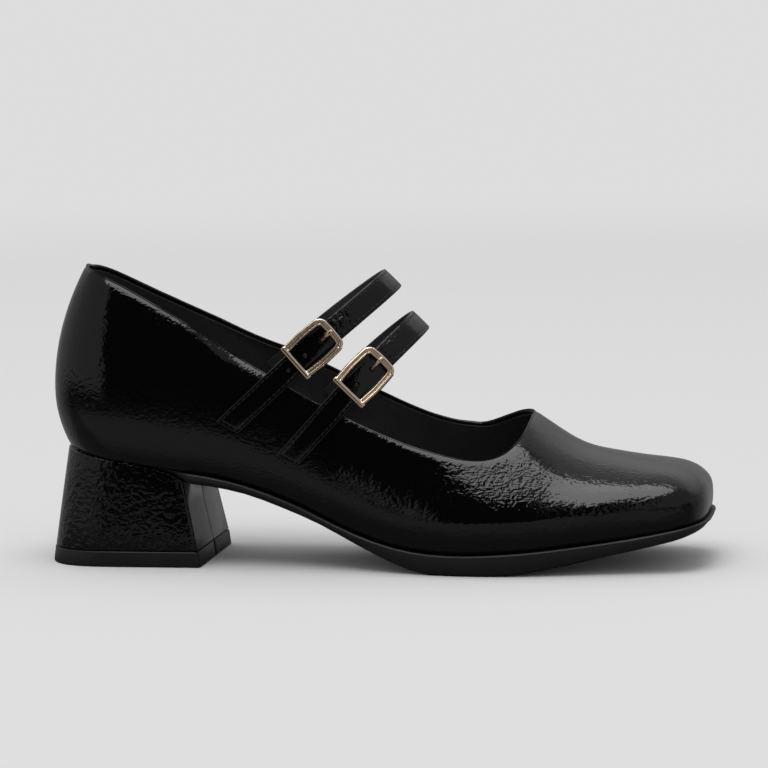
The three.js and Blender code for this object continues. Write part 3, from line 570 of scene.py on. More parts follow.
def patent(
    name, colour, cells, folds, depth, stretch=(1, 1, 1), calm=0.5, gloss=0.05, creased=False
):
    """Black patent leather: a glossy crinkled skin, deeper where the "crease" attribute says."""
    surface, tree, shader, where = blank_material(name)
    vector = node(
        tree, "ShaderNodeMapping", {"Vector": where, "Scale": stretch}
    ).outputs[0]
    sockets = {"Vector": vector, "Cells": cells, "Folds": folds, "Calm": calm}
    crinkle = use_group(tree, "crinkle", sockets)
    height = crinkle["Height"]
    if creased:
        crease = node(tree, "ShaderNodeAttribute", attribute_name="crease").outputs["Fac"]
        height = math_node(tree, "MULTIPLY", height, range_node(tree, crease, 1.0, 8.0, 0.0, 1.0))
    shader.inputs["Base Color"].default_value = (*colour, 1)
    shader.inputs["IOR"].default_value = 1.5
    rough = range_node(tree, crinkle["Patches"], gloss, gloss * 1.8)
    tree.links.new(rough, shader.inputs["Roughness"])
    bump_at_depth(tree, shader, height, depth)
    return surface


def matt(name, colour, cells, depth, rough):
    """Matt leather or rubber: fine pebbling, a little uneven in tone and sheen."""
    surface, tree, shader, where = blank_material(name)
    grain = use_group(tree, "grain", {"Vector": where, "Cells": cells})
    tone_between(tree, shader, range_node(tree, grain["Wear"], 0.0, 1.0), colour, 1.0, 1.5)
    sheen = range_node(tree, grain["Wear"], rough * 0.88, rough * 1.12)
    tree.links.new(sheen, shader.inputs["Roughness"])
    bump_at_depth(tree, shader, grain["Height"], depth)
    return surface


def plated(name, colour):
    """Polished pale gold plating with faint rubbing marks."""
    surface, tree, shader, where = blank_material(name)
    marks = noise_at(tree, where, 900.0, 4.0, 0.7)["Fac"]
    shader.inputs["Metallic"].default_value = 1.0
    tone_between(tree, shader, marks, colour, 0.96, 1.0)
    tree.links.new(range_node(tree, marks, 0.11, 0.17), shader.inputs["Roughness"])
    return surface


def surface_named(name):
    """A shared material, made when it is first asked for."""
    found = bpy.data.materials.get(name)
    if found:
        return found
    if "crinkle" not in bpy.data.node_groups:
        crinkle_group()
        grain_group()
    looks = bpy.context.scene.shoe_looks
    make = {
        "upper_skin": lambda: patent(
            name, looks.patent_colour, 1000.0, 700.0, 0.105, (0.7, 1, 1)
        ),
        "heel_skin": lambda: patent(
            name, looks.patent_colour, 640.0, 480.0, 0.3, (0.8, 0.8, 1), 0.8
        ),
        "breast_skin": lambda: patent(
            name, looks.breast_colour, 700.0, 500.0, 0.03, (1, 1, 0.25), 0.8, 0.09
        ),
        "strap_skin": lambda: patent(
            name, looks.patent_colour, 900.0, 640.0, 0.06, (1, 1, 1), 0.4, creased=True
        ),
        "lining_skin": lambda: matt(name, looks.lining_colour, 1500.0, 0.03, 0.62),
        "sole_skin": lambda: matt(name, looks.sole_colour, 2400.0, 0.012, 0.45),
        "thread": lambda: matt(name, looks.thread_colour, 4200.0, 0.03, 0.5),
        "gold_plate": lambda: plated(name, looks.gold_colour),
    }
    return make[name]()


# ---------------------------------------------------------------- what a user may change
def a_colour(name, description, value):
    return bpy.props.FloatVectorProperty(
        name=name, description=description, subtype="COLOR", size=3, min=0, max=1, default=value
    )


def a_length(name, description, millimetres):
    return bpy.props.FloatProperty(
        name=name, description=description, default=millimetres * MM, unit="LENGTH"
    )


class ShoeLooks(bpy.types.PropertyGroup):
    """Colours of the shoe and its stage."""

    patent_colour: a_colour("Patent", "Colour under the patent's gloss", (0.0014, 0.0014, 0.0015))
    breast_colour: a_colour("Breast", "Colour of the patent on the heel's breast", (0.03, 0.03, 0.031))
    lining_colour: a_colour("Lining", "Colour of the lining and sock", (0.022, 0.022, 0.023))
    sole_colour: a_colour("Sole", "Colour of the sole and top piece", (0.005, 0.005, 0.0053))
    thread_colour: a_colour("Thread", "Colour of the straps' stitches", (0.004, 0.004, 0.0043))
    gold_colour: a_colour("Buckles", "Colour of the buckles' plating", (0.97, 0.79, 0.60))
    stage_colour: a_colour("Stage", "Colour of the floor and backdrop", (0.70, 0.694, 0.694))


class ShoeSizes(bpy.types.PropertyGroup):
    """Sizes of the details that are made here, in metres."""

    fold_radius: a_length("Fold radius", "Half the thickness of the folded topline", 0.6)
    patent_thickness: a_length("Patent thickness", "Thickness of one layer of patent", 0.45)
    lining_drop: a_length("Lining drop", "Lining's top edge below the topline", 1.7)
    ripple: a_length("Ripple", "Height of the patent's slow ripples", 0.035)
    strap_width: a_length("Strap width", "Width of each strap", 9)
    stitch_inset: a_length("Stitch inset", "Stitch line's distance from a strap's edge", 1.25)
    stitch_pitch: a_length("Stitch pitch", "Distance from stitch to stitch", 2.3)
    hole_width: a_length("Hole width", "Diameter of the strap's punched holes", 1.5)


# ---------------------------------------------------------------- upper and lining
TURN_LIMIT = math.radians(62)  # edges sharper than this bound the CAD upper's outside


def outside_sheet(name):
    """The outside of the CAD upper as an open sheet."""
    obj = merged_copy("upper", name, regular=2.0)
    bm = bmesh.new()
    bm.from_mesh(obj.data)
    bm.normal_update()
    first = min(bm.faces, key=lambda f: f.calc_center_median().y)
    kept, waiting = {first}, [first]
    while waiting:
        face = waiting.pop()
        for edge in face.edges:
            for other in edge.link_faces:
                if other not in kept and edge.calc_face_angle(math.pi) < TURN_LIMIT:
                    kept.add(other)
                    waiting.append(other)
    gone = [f for f in bm.faces if f not in kept]
    if not gone or len(kept) < len(bm.faces) * 0.3:
        raise RuntimeError("the upper's outside was not found")
    bmesh.ops.delete(bm, geom=gone, context="FACES")
    bm.normal_update()
    return obj, bm


def topline_of(bm):
    """The vertices round the topline in order, with the direction up the sheet at each."""
    loops, left = [], {v for v in bm.verts if v.is_boundary}
    while left:
        vert = left.pop()
        loop = [vert]
        while True:
            step = [
                e.other_vert(loop[-1])
                for e in loop[-1].link_edges
                if e.is_boundary and e.other_vert(loop[-1]) in left
            ]
            if not step:
                break
            loop.append(step[0])
            left.discard(step[0])
        loops.append(loop)
    loop = max(loops, key=lambda vs: sum(v.co.z for v in vs) / len(vs))
    rises = []
    for v in loop:
        below = [e.other_vert(v) for e in v.link_edges if not e.is_boundary]
        rises.append(sum(((v.co - b.co).normalized() for b in below), Vector()).normalized())
    return loop, rises


def add_rings(bm, loop, rings):
    """Carries an open sheet on past its boundary loop through further rings of points."""
    edge = next(e for e in loop[0].link_edges if e.other_vert(loop[0]) == loop[1])
    corners = [lp.vert for lp in edge.link_faces[0].loops]
    forward = corners[(corners.index(loop[0]) + 1) % len(corners)] == loop[1]
    previous = loop
    n = len(loop)
    for ring in rings:
        verts = [bm.verts.new(p) for p in ring]
        for i in range(n):
            j = (i + 1) % n
            quad = (previous[i], previous[j], verts[j], verts[i])
            bm.faces.new(tuple(reversed(quad)) if forward else quad)
        previous = verts


def bump_at(x, middle, spread):
    """1 at the middle, falling softly to 0 at a spread from it."""
    return 1 - smoothstep(abs(x - middle), 0, spread)


def ripple(obj, height, wave):
    """Lifts and lowers the surface in slow soft waves."""
    mesh = obj.data
    for v in mesh.vertices:
        at = v.co / (wave * MM)
        v.co += v.normal * height * noise.noise(Vector((at.x * 0.6, at.y, at.z)))
    mesh.update()


# How the patent leans in towards the topline: usually, and where the quarter is fullest
ROLL = (0.4, 2.1)
ROLL_REACH = (2.2, 6.2)
ROLL_BROAD = (75, 22)  # place along the shoe, and spread


def roll_in(obj, rim, inwards):
    """Leans the patent in along a closed rim, the more the nearer it is."""
    tree = kdtree.KDTree(len(rim))
    for i, p in enumerate(rim):
        tree.insert(p, i)
    tree.balance()
    for v in obj.data.vertices:
        _, i, away = tree.find(v.co)
        if away > ROLL_REACH[1] * MM * 1.5:
            continue
        best = None
        for a, b in ((i - 1, i), (i, (i + 1) % len(rim))):
            near, share = geometry.intersect_point_line(v.co, rim[a], rim[b])
            share = min(1.0, max(0.0, share))
            near = rim[a].lerp(rim[b], share)
            away = (v.co - near).length
            if best is None or away < best[0]:
                best = (away, near, inwards[a].lerp(inwards[b], share))
        away, near, inward = best
        broad = bump_at(near.x / MM - SHOE_ORIGIN.x, *ROLL_BROAD)
        reach = lerp(ROLL_REACH[0], ROLL_REACH[1], broad) * MM
        lean = lerp(ROLL[0], ROLL[1], broad) * MM
        v.co += inward * lean * max(0.0, 1 - away / reach) ** 2


class SHOE_OT_upper(bpy.types.Operator):
    """Makes the patent upper with its folded topline, and its lining"""

    bl_idname = "shoe.upper"
    bl_label = "Upper and lining"

    def execute(self, context):
        sizes = context.scene.shoe_sizes
        fold = sizes.fold_radius

        obj, bm = outside_sheet("upper_patent")
        loop, rises = topline_of(bm)
        inwards = [-v.normal.copy() for v in loop]
        rim = [v.co.copy() for v in loop]
        for v, rise in zip(loop, rises):
            v.co -= rise * fold
        starts = [v.co.copy() for v in loop]

        def round_fold(angle, drop=0.0):
            lift, reach = fold * math.sin(angle) - drop, fold * (1 - math.cos(angle))
            return [
                p + rise * lift + inward * reach
                for p, rise, inward in zip(starts, rises, inwards)
            ]

        rings = [round_fold(math.radians(a)) for a in (40, 80, 120, 160)]
        rings += [round_fold(math.pi, drop * MM) for drop in (0.6, 2.4)]
        add_rings(bm, loop, rings)
        bm.to_mesh(obj.data)
        bm.free()
        subdivide_through(obj, 2)
        roll_in(obj, rim, inwards)
        ripple(obj, sizes.ripple, 4.5)
        modify(obj, "SOLIDIFY", thickness=sizes.patent_thickness, offset=-1)
        finish_piece(obj, surface_named("upper_skin"), "patent_leather", "upper", angle=60)

        lining, bm = outside_sheet("upper_lining")
        loop, rises = topline_of(bm)
        for v, rise in zip(loop, rises):
            v.co -= rise * sizes.lining_drop
        depth = 2 * fold
        moved = {v: v.co - v.normal * depth for v in bm.verts}
        for v, at in moved.items():
            v.co = at
        under = [f for f in bm.faces if f.normal.z < -0.6 and f.calc_center_median().z < 0.05]
        bmesh.ops.delete(bm, geom=under, context="FACES")
        bm.to_mesh(lining.data)
        bm.free()
        subdivide_through(lining, 2)
        roll_in(lining, rim, inwards)
        modify(lining, "SOLIDIFY", thickness=0.6 * MM, offset=-1)
        finish_piece(lining, surface_named("lining_skin"), "lining_leather", angle=60)
        return {"FINISHED"}


class SHOE_OT_insole(bpy.types.Operator):
    """Makes the sock-covered insole"""

    bl_idname = "shoe.insole"
    bl_label = "Insole"

    def execute(self, context):
        sock = merged_copy("insole", "insole_sock")
        bevel(sock, 0.25, 35)
        finish_piece(sock, surface_named("lining_skin"), "lining_leather", "insole", angle=50)
        return {"FINISHED"}


# ---------------------------------------------------------------- sole and heel
class SHOE_OT_sole(bpy.types.Operator):
    """Makes the outsole with its softened edges"""

    bl_idname = "shoe.sole"
    bl_label = "Outsole"

    def execute(self, context):
        sole = merged_copy("outsole", "outsole_unit")
        bevel(sole, 0.16, 30)
        finish_piece(sole, surface_named("sole_skin"), "sole_rubber", "outsole", angle=50)
        return {"FINISHED"}


BREAST_X = 0.75  # a breast face looks forward at least this much
RIM_FADE = (46, 54)  # where the cover's rim comes down from the upper to the sole
RIM_LIFT = 0.8
BREAST_FROM = 52  # the breast lies forward of this
SEAM_EDGE = 1.0  # the seam's edges rise at least this much
NEARLY = 1e-5


class SHOE_OT_heel(bpy.types.Operator):
    """Makes the covered heel block with the seam up its breast, and the rubber top piece"""

    bl_idname = "shoe.heel"
    bl_label = "Heel"

    def execute(self, context):
        block = merged_copy("heel_block", "heel_cover")
        middle = SHOE_ORIGIN.y * MM
        edit(
            block,
            lambda: bpy.ops.mesh.bisect(plane_co=(0, middle, 0), plane_no=(0, 1, 0)),
        )
        rim = max(v.co.z for v in block.data.vertices)
        for v in block.data.vertices:
            x = v.co.x / MM - SHOE_ORIGIN.x
            if v.co.z > rim - 12 * MM and x > RIM_FADE[0] - 4 and abs(v.normal.z) < 0.97:
                lift = smoothstep(x, RIM_FADE[0] - 4, RIM_FADE[0]) * (1 - smoothstep(x, *RIM_FADE))
                v.co.z += lift * RIM_LIFT * MM
        bevel(block, 0.5, 40, 3)
        mesh = block.data

        def in_seam(point):
            return abs(point.y - middle) < NEARLY and point.x > place((BREAST_FROM, 0, 0)).x

        def on_seam(edge):
            ends = [mesh.vertices[i].co for i in edge.vertices]
            rises = abs(ends[0].z - ends[1].z) > SEAM_EDGE * MM
            return rises and all(in_seam(p) for p in ends)

        choose(block, "edges", on_seam)
        bpy.ops.object.mode_set(mode="EDIT")
        bpy.ops.mesh.bevel(offset=0.35 * MM, segments=2, profile=0.5)
        bpy.ops.object.mode_set(mode="OBJECT")
        for v in mesh.vertices:
            if in_seam(v.co):
                v.co.x -= 0.45 * MM
        finish_piece(block, surface_named("heel_skin"), "patent_leather", "heel_block", angle=50)
        block.data.materials.append(surface_named("breast_skin"))
        for face in block.data.polygons:
            face.material_index = int(face.normal.x > BREAST_X)

        top = merged_copy("heel_top_piece", "heel_top_lift")
        bevel(top, 0.16, 40)
        finish_piece(top, surface_named("sole_skin"), "sole_rubber", "heel_top_piece", angle=50)
        return {"FINISHED"}


# ---------------------------------------------------------------- straps
GROOVE_HALF = 0.4  # half the width of a stitch groove
GROOVE_DEPTH = 0.16
SEWN_ROW = 1.3  # the crosswise stitch row's distance from the sewn end
CREASED = 14  # middle of the creased stretch, forward of the buckle's middle
PRESSED = 0.2  # how much wider a strap is inside its buckle


def strap_section(half, inset):
    """Half-profile of the patent layer: (across, height, how much a crosswise groove sinks it)."""
    groove = half - inset
    right = [
        (0.0, 0.97, 1),
        (1.2, 0.97, 1),
        (groove - 0.75, 0.95, 1),
        (groove - GROOVE_HALF, 0.89, 1),
        (groove, 0.95 - GROOVE_DEPTH, 0.3),
        (groove + GROOVE_HALF, 0.90, 0),
        (half - 0.42, 0.88, 0),
        (half - 0.16, 0.72, 0),
        (half, 0.42, 0),
        (half, 0.08, 0),
        (half - 0.12, -0.18, 0),
        (half - 0.4, -0.3, 0),
        (half * 0.4, -0.3, 0),
    ]
    left = [(-w, h, k) for w, h, k in reversed(right[1:])]
    return right + left


def strap_solid(name, path, section, buckle):
    """Sweeps a section along a strap. Both ends are softened, the sewn one is cut aslant, and
    the strap is pressed wider inside its buckle."""
    stops = [0.0, 0.12, 0.35, 0.75, 1.0, SEWN_ROW, 1.65, 2.1, 3.0]
    d = 4.0
    while d < path.length - 1.4:
        stops.append(d)
        d += 1.1
    stops += [path.length - k for k in (1.0, 0.35, 0.12, 0.0)]
    rings = []
    for stop in stops:
        edge = min(stop, path.length - stop)
        soft = rounded(edge / 0.35, 0.55)
        sunk = GROOVE_DEPTH * max(0.0, 1 - abs(stop - SEWN_ROW) / 0.4)
        slant = END_SLANT * max(0.0, 1 - stop / 12)
        wide = 1 + PRESSED * (1 - smoothstep(abs(stop - buckle), 7, 9))
        ring = []
        for w, h, k in section:
            point, _, side, up = path.basis(stop + w * slant)
            middle = (section[0][1] + section[-1][1]) / 2 if len(section) < 9 else 0.33
            high = lerp(middle, h, soft) - sunk * k
            ring.append(place(point + side * w * wide * lerp(0.97, 1, soft) + up * high))
        rings.append(ring)
    return rings_solid(name, rings)


def mark_creases(obj, middle):
    """Marks the creased stretch of a strap, just past its buckle."""
    layer = obj.data.attributes.new("crease", "FLOAT", "POINT")
    for v, item in zip(obj.data.vertices, layer.data):
        item.value = 1 - smoothstep((v.co - middle).length / MM, 4, 9)


def hole_cutter(matrix, radius):
    """A punch that flares where it meets the patent."""
    levels = ((-2.5, 1.0), (0.45, 1.0), (0.75, 1.12), (0.95, 1.38), (1.3, 1.7))
    rings = [
        [
            matrix @ Vector((radius * k * math.cos(a), radius * k * math.sin(a), z))
            for a in (math.tau * i / 24 for i in range(24))
        ]
        for z, k in levels
    ]
    return rings_solid("punch", rings)


def copies(name, pattern, places):
    """One piece made of a copy of a pattern at each place; the pattern is removed."""
    bm = bmesh.new()
    for matrix in places:
        count = len(bm.verts)
        bm.from_mesh(pattern.data)
        bm.verts.ensure_lookup_table()
        bmesh.ops.transform(bm, matrix=matrix, verts=bm.verts[count:])
    obj = new_object(name, [], [])
    bm.to_mesh(obj.data)
    bm.free()
    bpy.data.objects.remove(pattern)
    return obj


def stitch_pattern(length):
    """One stitch, in millimetres: a plump thread that dips at both ends."""
    bpy.ops.object.select_all(action="DESELECT")
    bpy.ops.mesh.primitive_uv_sphere_add(segments=8, ring_count=7, radius=1.0)
    return edit(
        bpy.context.object,
        lambda: bpy.ops.transform.rotate(
            value=math.pi / 2, orient_axis="Y", center_override=(0, 0, 0)
        ),
        lambda: bpy.ops.transform.resize(value=(length / 2, 0.2, 0.2)),
    )


class SHOE_OT_straps(bpy.types.Operator):
    """Makes both straps: folded patent, backing, punched holes and stitches"""

    bl_idname = "shoe.straps"
    bl_label = "Straps"

    def execute(self, context):
        sizes = context.scene.shoe_sizes
        half = sizes.strap_width / MM / 2
        inset = sizes.stitch_inset / MM
        pitch = sizes.stitch_pitch / MM
        backing = [(half - 0.25, -0.42, 0), (half - 0.15, -0.68, 0), (half - 0.35, -0.95, 0)]
        backing = backing + [(-w, h, k) for w, h, k in reversed(backing)]
        for name, strap in STRAPS.items():
            path = PATHS[name]
            buckle = strap["buckle"]
            belt = strap_solid(f"strap_{name}_patent", path, strap_section(half, inset), buckle)
            lower = strap_solid(f"strap_{name}_backing", path, backing, buckle)
            places = [buckle + d for d in (*strap["holes"], PRONG_HOLE)]
            for d in places:
                for layer in (belt, lower):
                    punch = hole_cutter(path.matrix(d), sizes.hole_width / MM / 2)
                    combine(layer, [punch], "DIFFERENCE")
            mark_creases(belt, path.matrix(buckle + CREASED).translation)
            finish_piece(
                belt, surface_named("strap_skin"), "patent_leather", f"strap_{name}", angle=50
            )
            finish_piece(lower, surface_named("lining_skin"), "lining_leather", angle=50)

            line = half - inset
            height = 0.97 - GROOVE_DEPTH
            rows = []
            count = int((path.length - SEWN_ROW * 2) / pitch)
            for i in range(count):
                d = SEWN_ROW + (i + 0.5) * pitch
                for w in (-line, line):
                    slant = END_SLANT * max(0.0, 1 - d / 12)
                    if abs(d - buckle) > 9:
                        rows.append(
                            path.matrix(d + w * slant) @ Matrix.Translation((0, -w, height))
                        )
            across = 3
            for i in range(across):
                w = lerp(-line, line, (i + 0.5) / across)
                turn = Matrix.Rotation(math.pi / 2 - math.atan(END_SLANT), 4, "Z")
                rows.append(
                    path.matrix(SEWN_ROW + w * END_SLANT)
                    @ Matrix.Translation((0, -w, height))
                    @ turn
                )
            thread = copies(f"strap_{name}_stitches", stitch_pattern(pitch * 0.86), rows)
            finish_piece(thread, surface_named("thread"), "patent_leather", angle=80)
        return {"FINISHED"}


# ---------------------------------------------------------------- buckles
BACK, FRONT, SIDE, CORNER, BOW = 8.1, 9.3, 6.1, 2.2, 0.5  # the frame's plan
WIRE, BAR_WIRE, BAR_HALF = 1.0, 1.05, 7.5
CENTRE, CENTRE_WIRE = -1.2, 0.8
PRONG_HOLE, PRONG_WIRE = 4.4, 0.65
CLEAR = STRAP_HALF + 0.3  # free height above and below a strap's middle
LEVEL = CLEAR + WIRE
LOW = -CLEAR - 2 * PRONG_WIRE - 0.6 - CENTRE_WIRE


# The frame's section as (up, inwards): a round outer ridge, a groove and a lower inner ridge
FRAME_SECTION = (
    (-0.9, -0.7),
    (-0.55, -1.08),
    (0.1, -1.15),
    (0.62, -1.0),
    (0.92, -0.68),
    (1.0, -0.3),
    (0.86, 0.05),
    (0.46, 0.32),
    (0.42, 0.52),
    (0.68, 0.76),
    (0.76, 1.05),
    (0.62, 1.3),
    (0.2, 1.5),
    (-0.4, 1.5),
    (-0.85, 1.25),
    (-0.95, 0.3),
)


def smooth_line(points, steps, loop=False):
    """Points along the smooth curve through the given points."""
    n = len(points)
    points = [Vector(p) for p in points]
    made = []
    for i in range(n if loop else n - 1):
        a, b = points[i], points[(i + 1) % n]
        before = points[i - 1] if (i or loop) else a * 2 - b
        after = points[(i + 2) % n] if (i + 2 < n or loop) else b * 2 - a
        for s in range(steps):
            t = s / steps
            made.append(curve_between(before, a, b, after, t))
    return made if loop else [*made, points[-1]]


def rod(name, matrix, line, section, loop=False, start=Vector((0, 0, 1))):
    """Sweeps a section along a line given in millimetres round a buckle's middle."""
    n = len(line)
    side = start.copy()
    rings = []
    for i, p in enumerate(line):
        before = line[i - 1] if (i or loop) else p
        after = line[(i + 1) % n] if (i + 1 < n or loop) else p
        ahead = (after - before).normalized()
        side = (side - ahead * side.dot(ahead)).normalized()
        other = ahead.cross(side)
        rings.append([matrix @ (p + side * a + other * b) for a, b in section(i / (n - 1))])
    return rings_solid(name, rings, loop)


def round_section(height, width, sides=16, square=2.0):
    """A rounded section; square above 2 flattens its four sides."""
    made = []
    for i in range(sides):
        angle = math.tau * (i + 0.5) / sides
        c, s = math.cos(angle), math.sin(angle)
        made.append(
            (
                height * math.copysign(abs(c) ** (2 / square), c),
                width * math.copysign(abs(s) ** (2 / square), s),
            )
        )
    return made


def softened(section, ends=0.08):
    """A section that shrinks over the last part of a rod at both of its ends."""

    def at(t):
        edge = min(1.0, min(t, 1 - t) / ends)
        k = rounded(edge, 0.6)
        return [(a * k, b * k) for a, b in section]

    return at


class SHOE_OT_buckles(bpy.types.Operator):
    """Makes both buckles: a bowed frame, its bar, the hidden centre bar and the prong"""

    bl_idname = "shoe.buckles"
    bl_label = "Buckles"

    def execute(self, context):
        half = [(-BACK, SIDE), (-BACK / 2, SIDE + BOW * 0.6), (0, SIDE + BOW)]
        half.append((FRONT - CORNER, SIDE + BOW * 0.4))
        for i in range(1, 5):
            angle = math.pi / 10 * i
            half.append(
                (FRONT - CORNER * (1 - math.sin(angle)), SIDE - CORNER * (1 - math.cos(angle)))
            )
        half += [(FRONT, SIDE - CORNER), (FRONT + BOW * 0.4, 0)]
        plan = half + [(a, -b) for a, b in reversed(half[:-1])]
        hoop = smooth_line([(a, b, LEVEL) for a, b in plan], 6)
        profile = [
            (p.x, p.y) for p in smooth_line([(a, b, 0) for a, b in FRAME_SECTION], 3, loop=True)
        ]
        spread = SIDE + BOW * 0.7
        tuck = [
            (spread, LEVEL),
            (spread, LOW + 1),
            (spread - 0.4, LOW + 0.3),
            (spread - 1.2, LOW),
        ]
        under = [(CENTRE, -b, z) for b, z in tuck] + [(CENTRE, b, z) for b, z in reversed(tuck)]
        swing = CENTRE_WIRE + 0.3 + PRONG_WIRE
        rest = LEVEL + WIRE + 0.3 + PRONG_WIRE
        curl = [
            (CENTRE + swing * math.cos(a), 0, LOW + swing * math.sin(a))
            for a in (math.tau * i / 12 for i in range(12))
        ]
        shank = [
            (CENTRE + swing * 0.5, 0, LOW + swing * 0.86),
            (CENTRE + 3, 0, LOW + 2.1),
            (PRONG_HOLE - 0.7, 0, -0.9),
            (PRONG_HOLE + 0.9, 0, 1.3),
            (FRONT - 1.9, 0, rest - 0.35),
            (FRONT - 0.8, 0, rest),
            (FRONT + 0.3, 0, rest - 0.05),
        ]
        gold = surface_named("gold_plate")
        for name, strap in STRAPS.items():
            matrix = PATHS[name].matrix(strap["buckle"], reach=4)
            buckle = rod(f"buckle_{name}_frame", matrix, hoop, lambda t: profile)
            ends = [-BAR_HALF + d for d in (0, 0.1, 0.3, 0.8)]
            ends += [-3, 0, 3] + [-d for d in reversed(ends)]
            bar_line = [Vector((-BACK, b, LEVEL)) for b in ends]
            circle = round_section(BAR_WIRE, BAR_WIRE, 20, 2.3)

            def bar_section(t, line=bar_line, shape=circle):
                edge = BAR_HALF - abs(line[round(t * (len(line) - 1))].y)
                k = rounded(edge / 0.5, 0.72)
                return [(a * k, b * k) for a, b in shape]

            bar = rod("bar", matrix, bar_line, bar_section)
            wire = round_section(CENTRE_WIRE, CENTRE_WIRE, 12)
            centre = rod(
                "centre", matrix, smooth_line(under, 3), lambda t: wire, start=Vector((1, 0, 0))
            )
            combine(buckle, [bar, centre], "UNION")
            finish_piece(buckle, gold, "pale_gold", f"buckle_{name}", angle=70)
            pin = round_section(PRONG_WIRE, PRONG_WIRE * 1.15, 12, 2.4)
            prong = rod(f"buckle_{name}_prong", matrix, smooth_line(shank, 4), softened(pin, 0.05))
            ring = rod("curl", matrix, [Vector(p) for p in curl], lambda t: pin, loop=True,
                       start=Vector((0, 1, 0)))
            combine(prong, [ring], "UNION")
            finish_piece(prong, gold, "pale_gold", f"prong_{name}", angle=40)
        return {"FINISHED"}


# ---------------------------------------------------------------- stage
CAMERA = {"azimuth": 9.7978, "elevation": 6.6633, "roll": -0.986, "distance": 1.3}
TARGET = (126.21, 0.0, 65.41)
LENS = 163.76
FLOOR_LEVEL = 0.73  # brightness that the floor and backdrop reach
SKY = 0.66  # soft light from all round
SOFTBOX = {
    "at": (-0.174, -0.893, 3.0),
    "turn": -24.4,
    "size": (1.82, 3.07),
    "brightness": 2.9,
}
# What shiny surfaces see of the studio: degrees round from straight in front, and up
DARK_SIDE = (-27, 18)
DARK_TOP = 60
DARK, LEFT_SIDE, RIGHT_SIDE = 0.004, 0.33, 0.30
BEHIND_FROM = 115
BEHIND = ((-10, 0.25), (13, 0.28), (24, 0.53), (42, 0.85), (57, 0.6), (90, 0.6))
# How much of the floor's brightness they see: near, far in front, far behind
FLOOR_SEEN = (0.32, 0.05, 0.34)
GLOW_NEAR = 0.6  # how far the floor by the shoe is evenly bright instead of lit


def softbox(name, at, aim, size, brightness, turn=0.0):
    """A rectangular area light of a given brightness, aimed at a point."""
    data = bpy.data.lights.new(name, "AREA")
    data.shape = "RECTANGLE"
    data.size, data.size_y = size
    data.energy = brightness * math.pi * size[0] * size[1]
    light = bpy.data.objects.new(name, data)
    light.location = at
    back = (Vector(at) - Vector(aim)).normalized()
    light.rotation_euler = (
        back.to_track_quat("Z", "Y").to_matrix() @ Matrix.Rotation(math.radians(turn), 3, "Z")
    ).to_euler()
    bpy.context.scene.collection.objects.link(light)
    return light


def step_node(tree, value, low, high, bottom=0.0, top=1.0):
    """Runs softly from bottom to top as value goes from low to high."""
    return node(
        tree,
        "ShaderNodeMapRange",
        {"Value": value, 1: low, 2: high, 3: bottom, 4: top},
        interpolation_type="SMOOTHSTEP",
    ).outputs[0]


def blend_node(tree, factor, a, b):
    return node(tree, "ShaderNodeMix", {0: factor, 2: a, 3: b}).outputs[0]


def stage_surface(colour):
    """Pale paper, lit near the shoe, evenly bright far from it, and duller in reflections."""
    surface, tree, shader, where = blank_material("stage_paper")
    shader.inputs["Roughness"].default_value = 0.9
    shader.inputs["Specular IOR Level"].default_value = 0.0
    distance = node(tree, "ShaderNodeVectorMath", {0: where}, operation="LENGTH").outputs["Value"]
    depth = node(tree, "ShaderNodeSeparateXYZ", {0: where}).outputs["Y"]
    near, front, back = FLOOR_SEEN
    away = step_node(tree, depth, -0.1, 0.3, front, back)
    share = blend_node(tree, step_node(tree, distance, 0.25, 0.5), near, away)
    # Painted shade: a strip of floor along the shoe's outer side is darkened in reflections, standing in
    # for the shoe's shadow there
    reflected_shade_strip = math_node(
        tree, "MULTIPLY", step_node(tree, depth, -0.1, -0.05), step_node(tree, depth, 0.03, -0.02)
    )
    share = math_node(tree, "MULTIPLY", share, step_node(tree, reflected_shade_strip, 0.0, 1.0, 1.0, 0.45))
    glossy = tree.nodes.new("ShaderNodeLightPath").outputs["Is Glossy Ray"]
    share = blend_node(tree, glossy, 1.0, share)
    paper = node(
        tree, "ShaderNodeVectorMath", {0: tuple(colour), "Scale": share}, operation="SCALE"
    ).outputs[0]
    tree.links.new(paper, shader.inputs["Base Color"])
    glow = node(
        tree,
        "ShaderNodeEmission",
        {
            "Color": (*(c / max(colour) for c in colour), 1),
            "Strength": math_node(tree, "MULTIPLY", share, FLOOR_LEVEL),
        },
    ).outputs[0]
    width = math_node(tree, "ABSOLUTE", depth)
    length = math_node(
        tree, "ABSOLUTE", node(tree, "ShaderNodeSeparateXYZ", {0: where}).outputs["X"]
    )
    outside = math_node(
        tree, "MAXIMUM", math_node(tree, "SUBTRACT", width, 0.045),
        math_node(tree, "SUBTRACT", length, 0.12)
    )
    far = math_node(
        tree, "MAXIMUM", step_node(tree, outside, 0.0, 0.07, 0.0, GLOW_NEAR),
        step_node(tree, distance, 0.35, 2.2),
    )
    mix = node(tree, "ShaderNodeMixShader", {0: far, 1: shader.outputs[0], 2: glow}).outputs[0]
    tree.links.new(mix, tree.nodes["Material Output"].inputs["Surface"])
    return surface


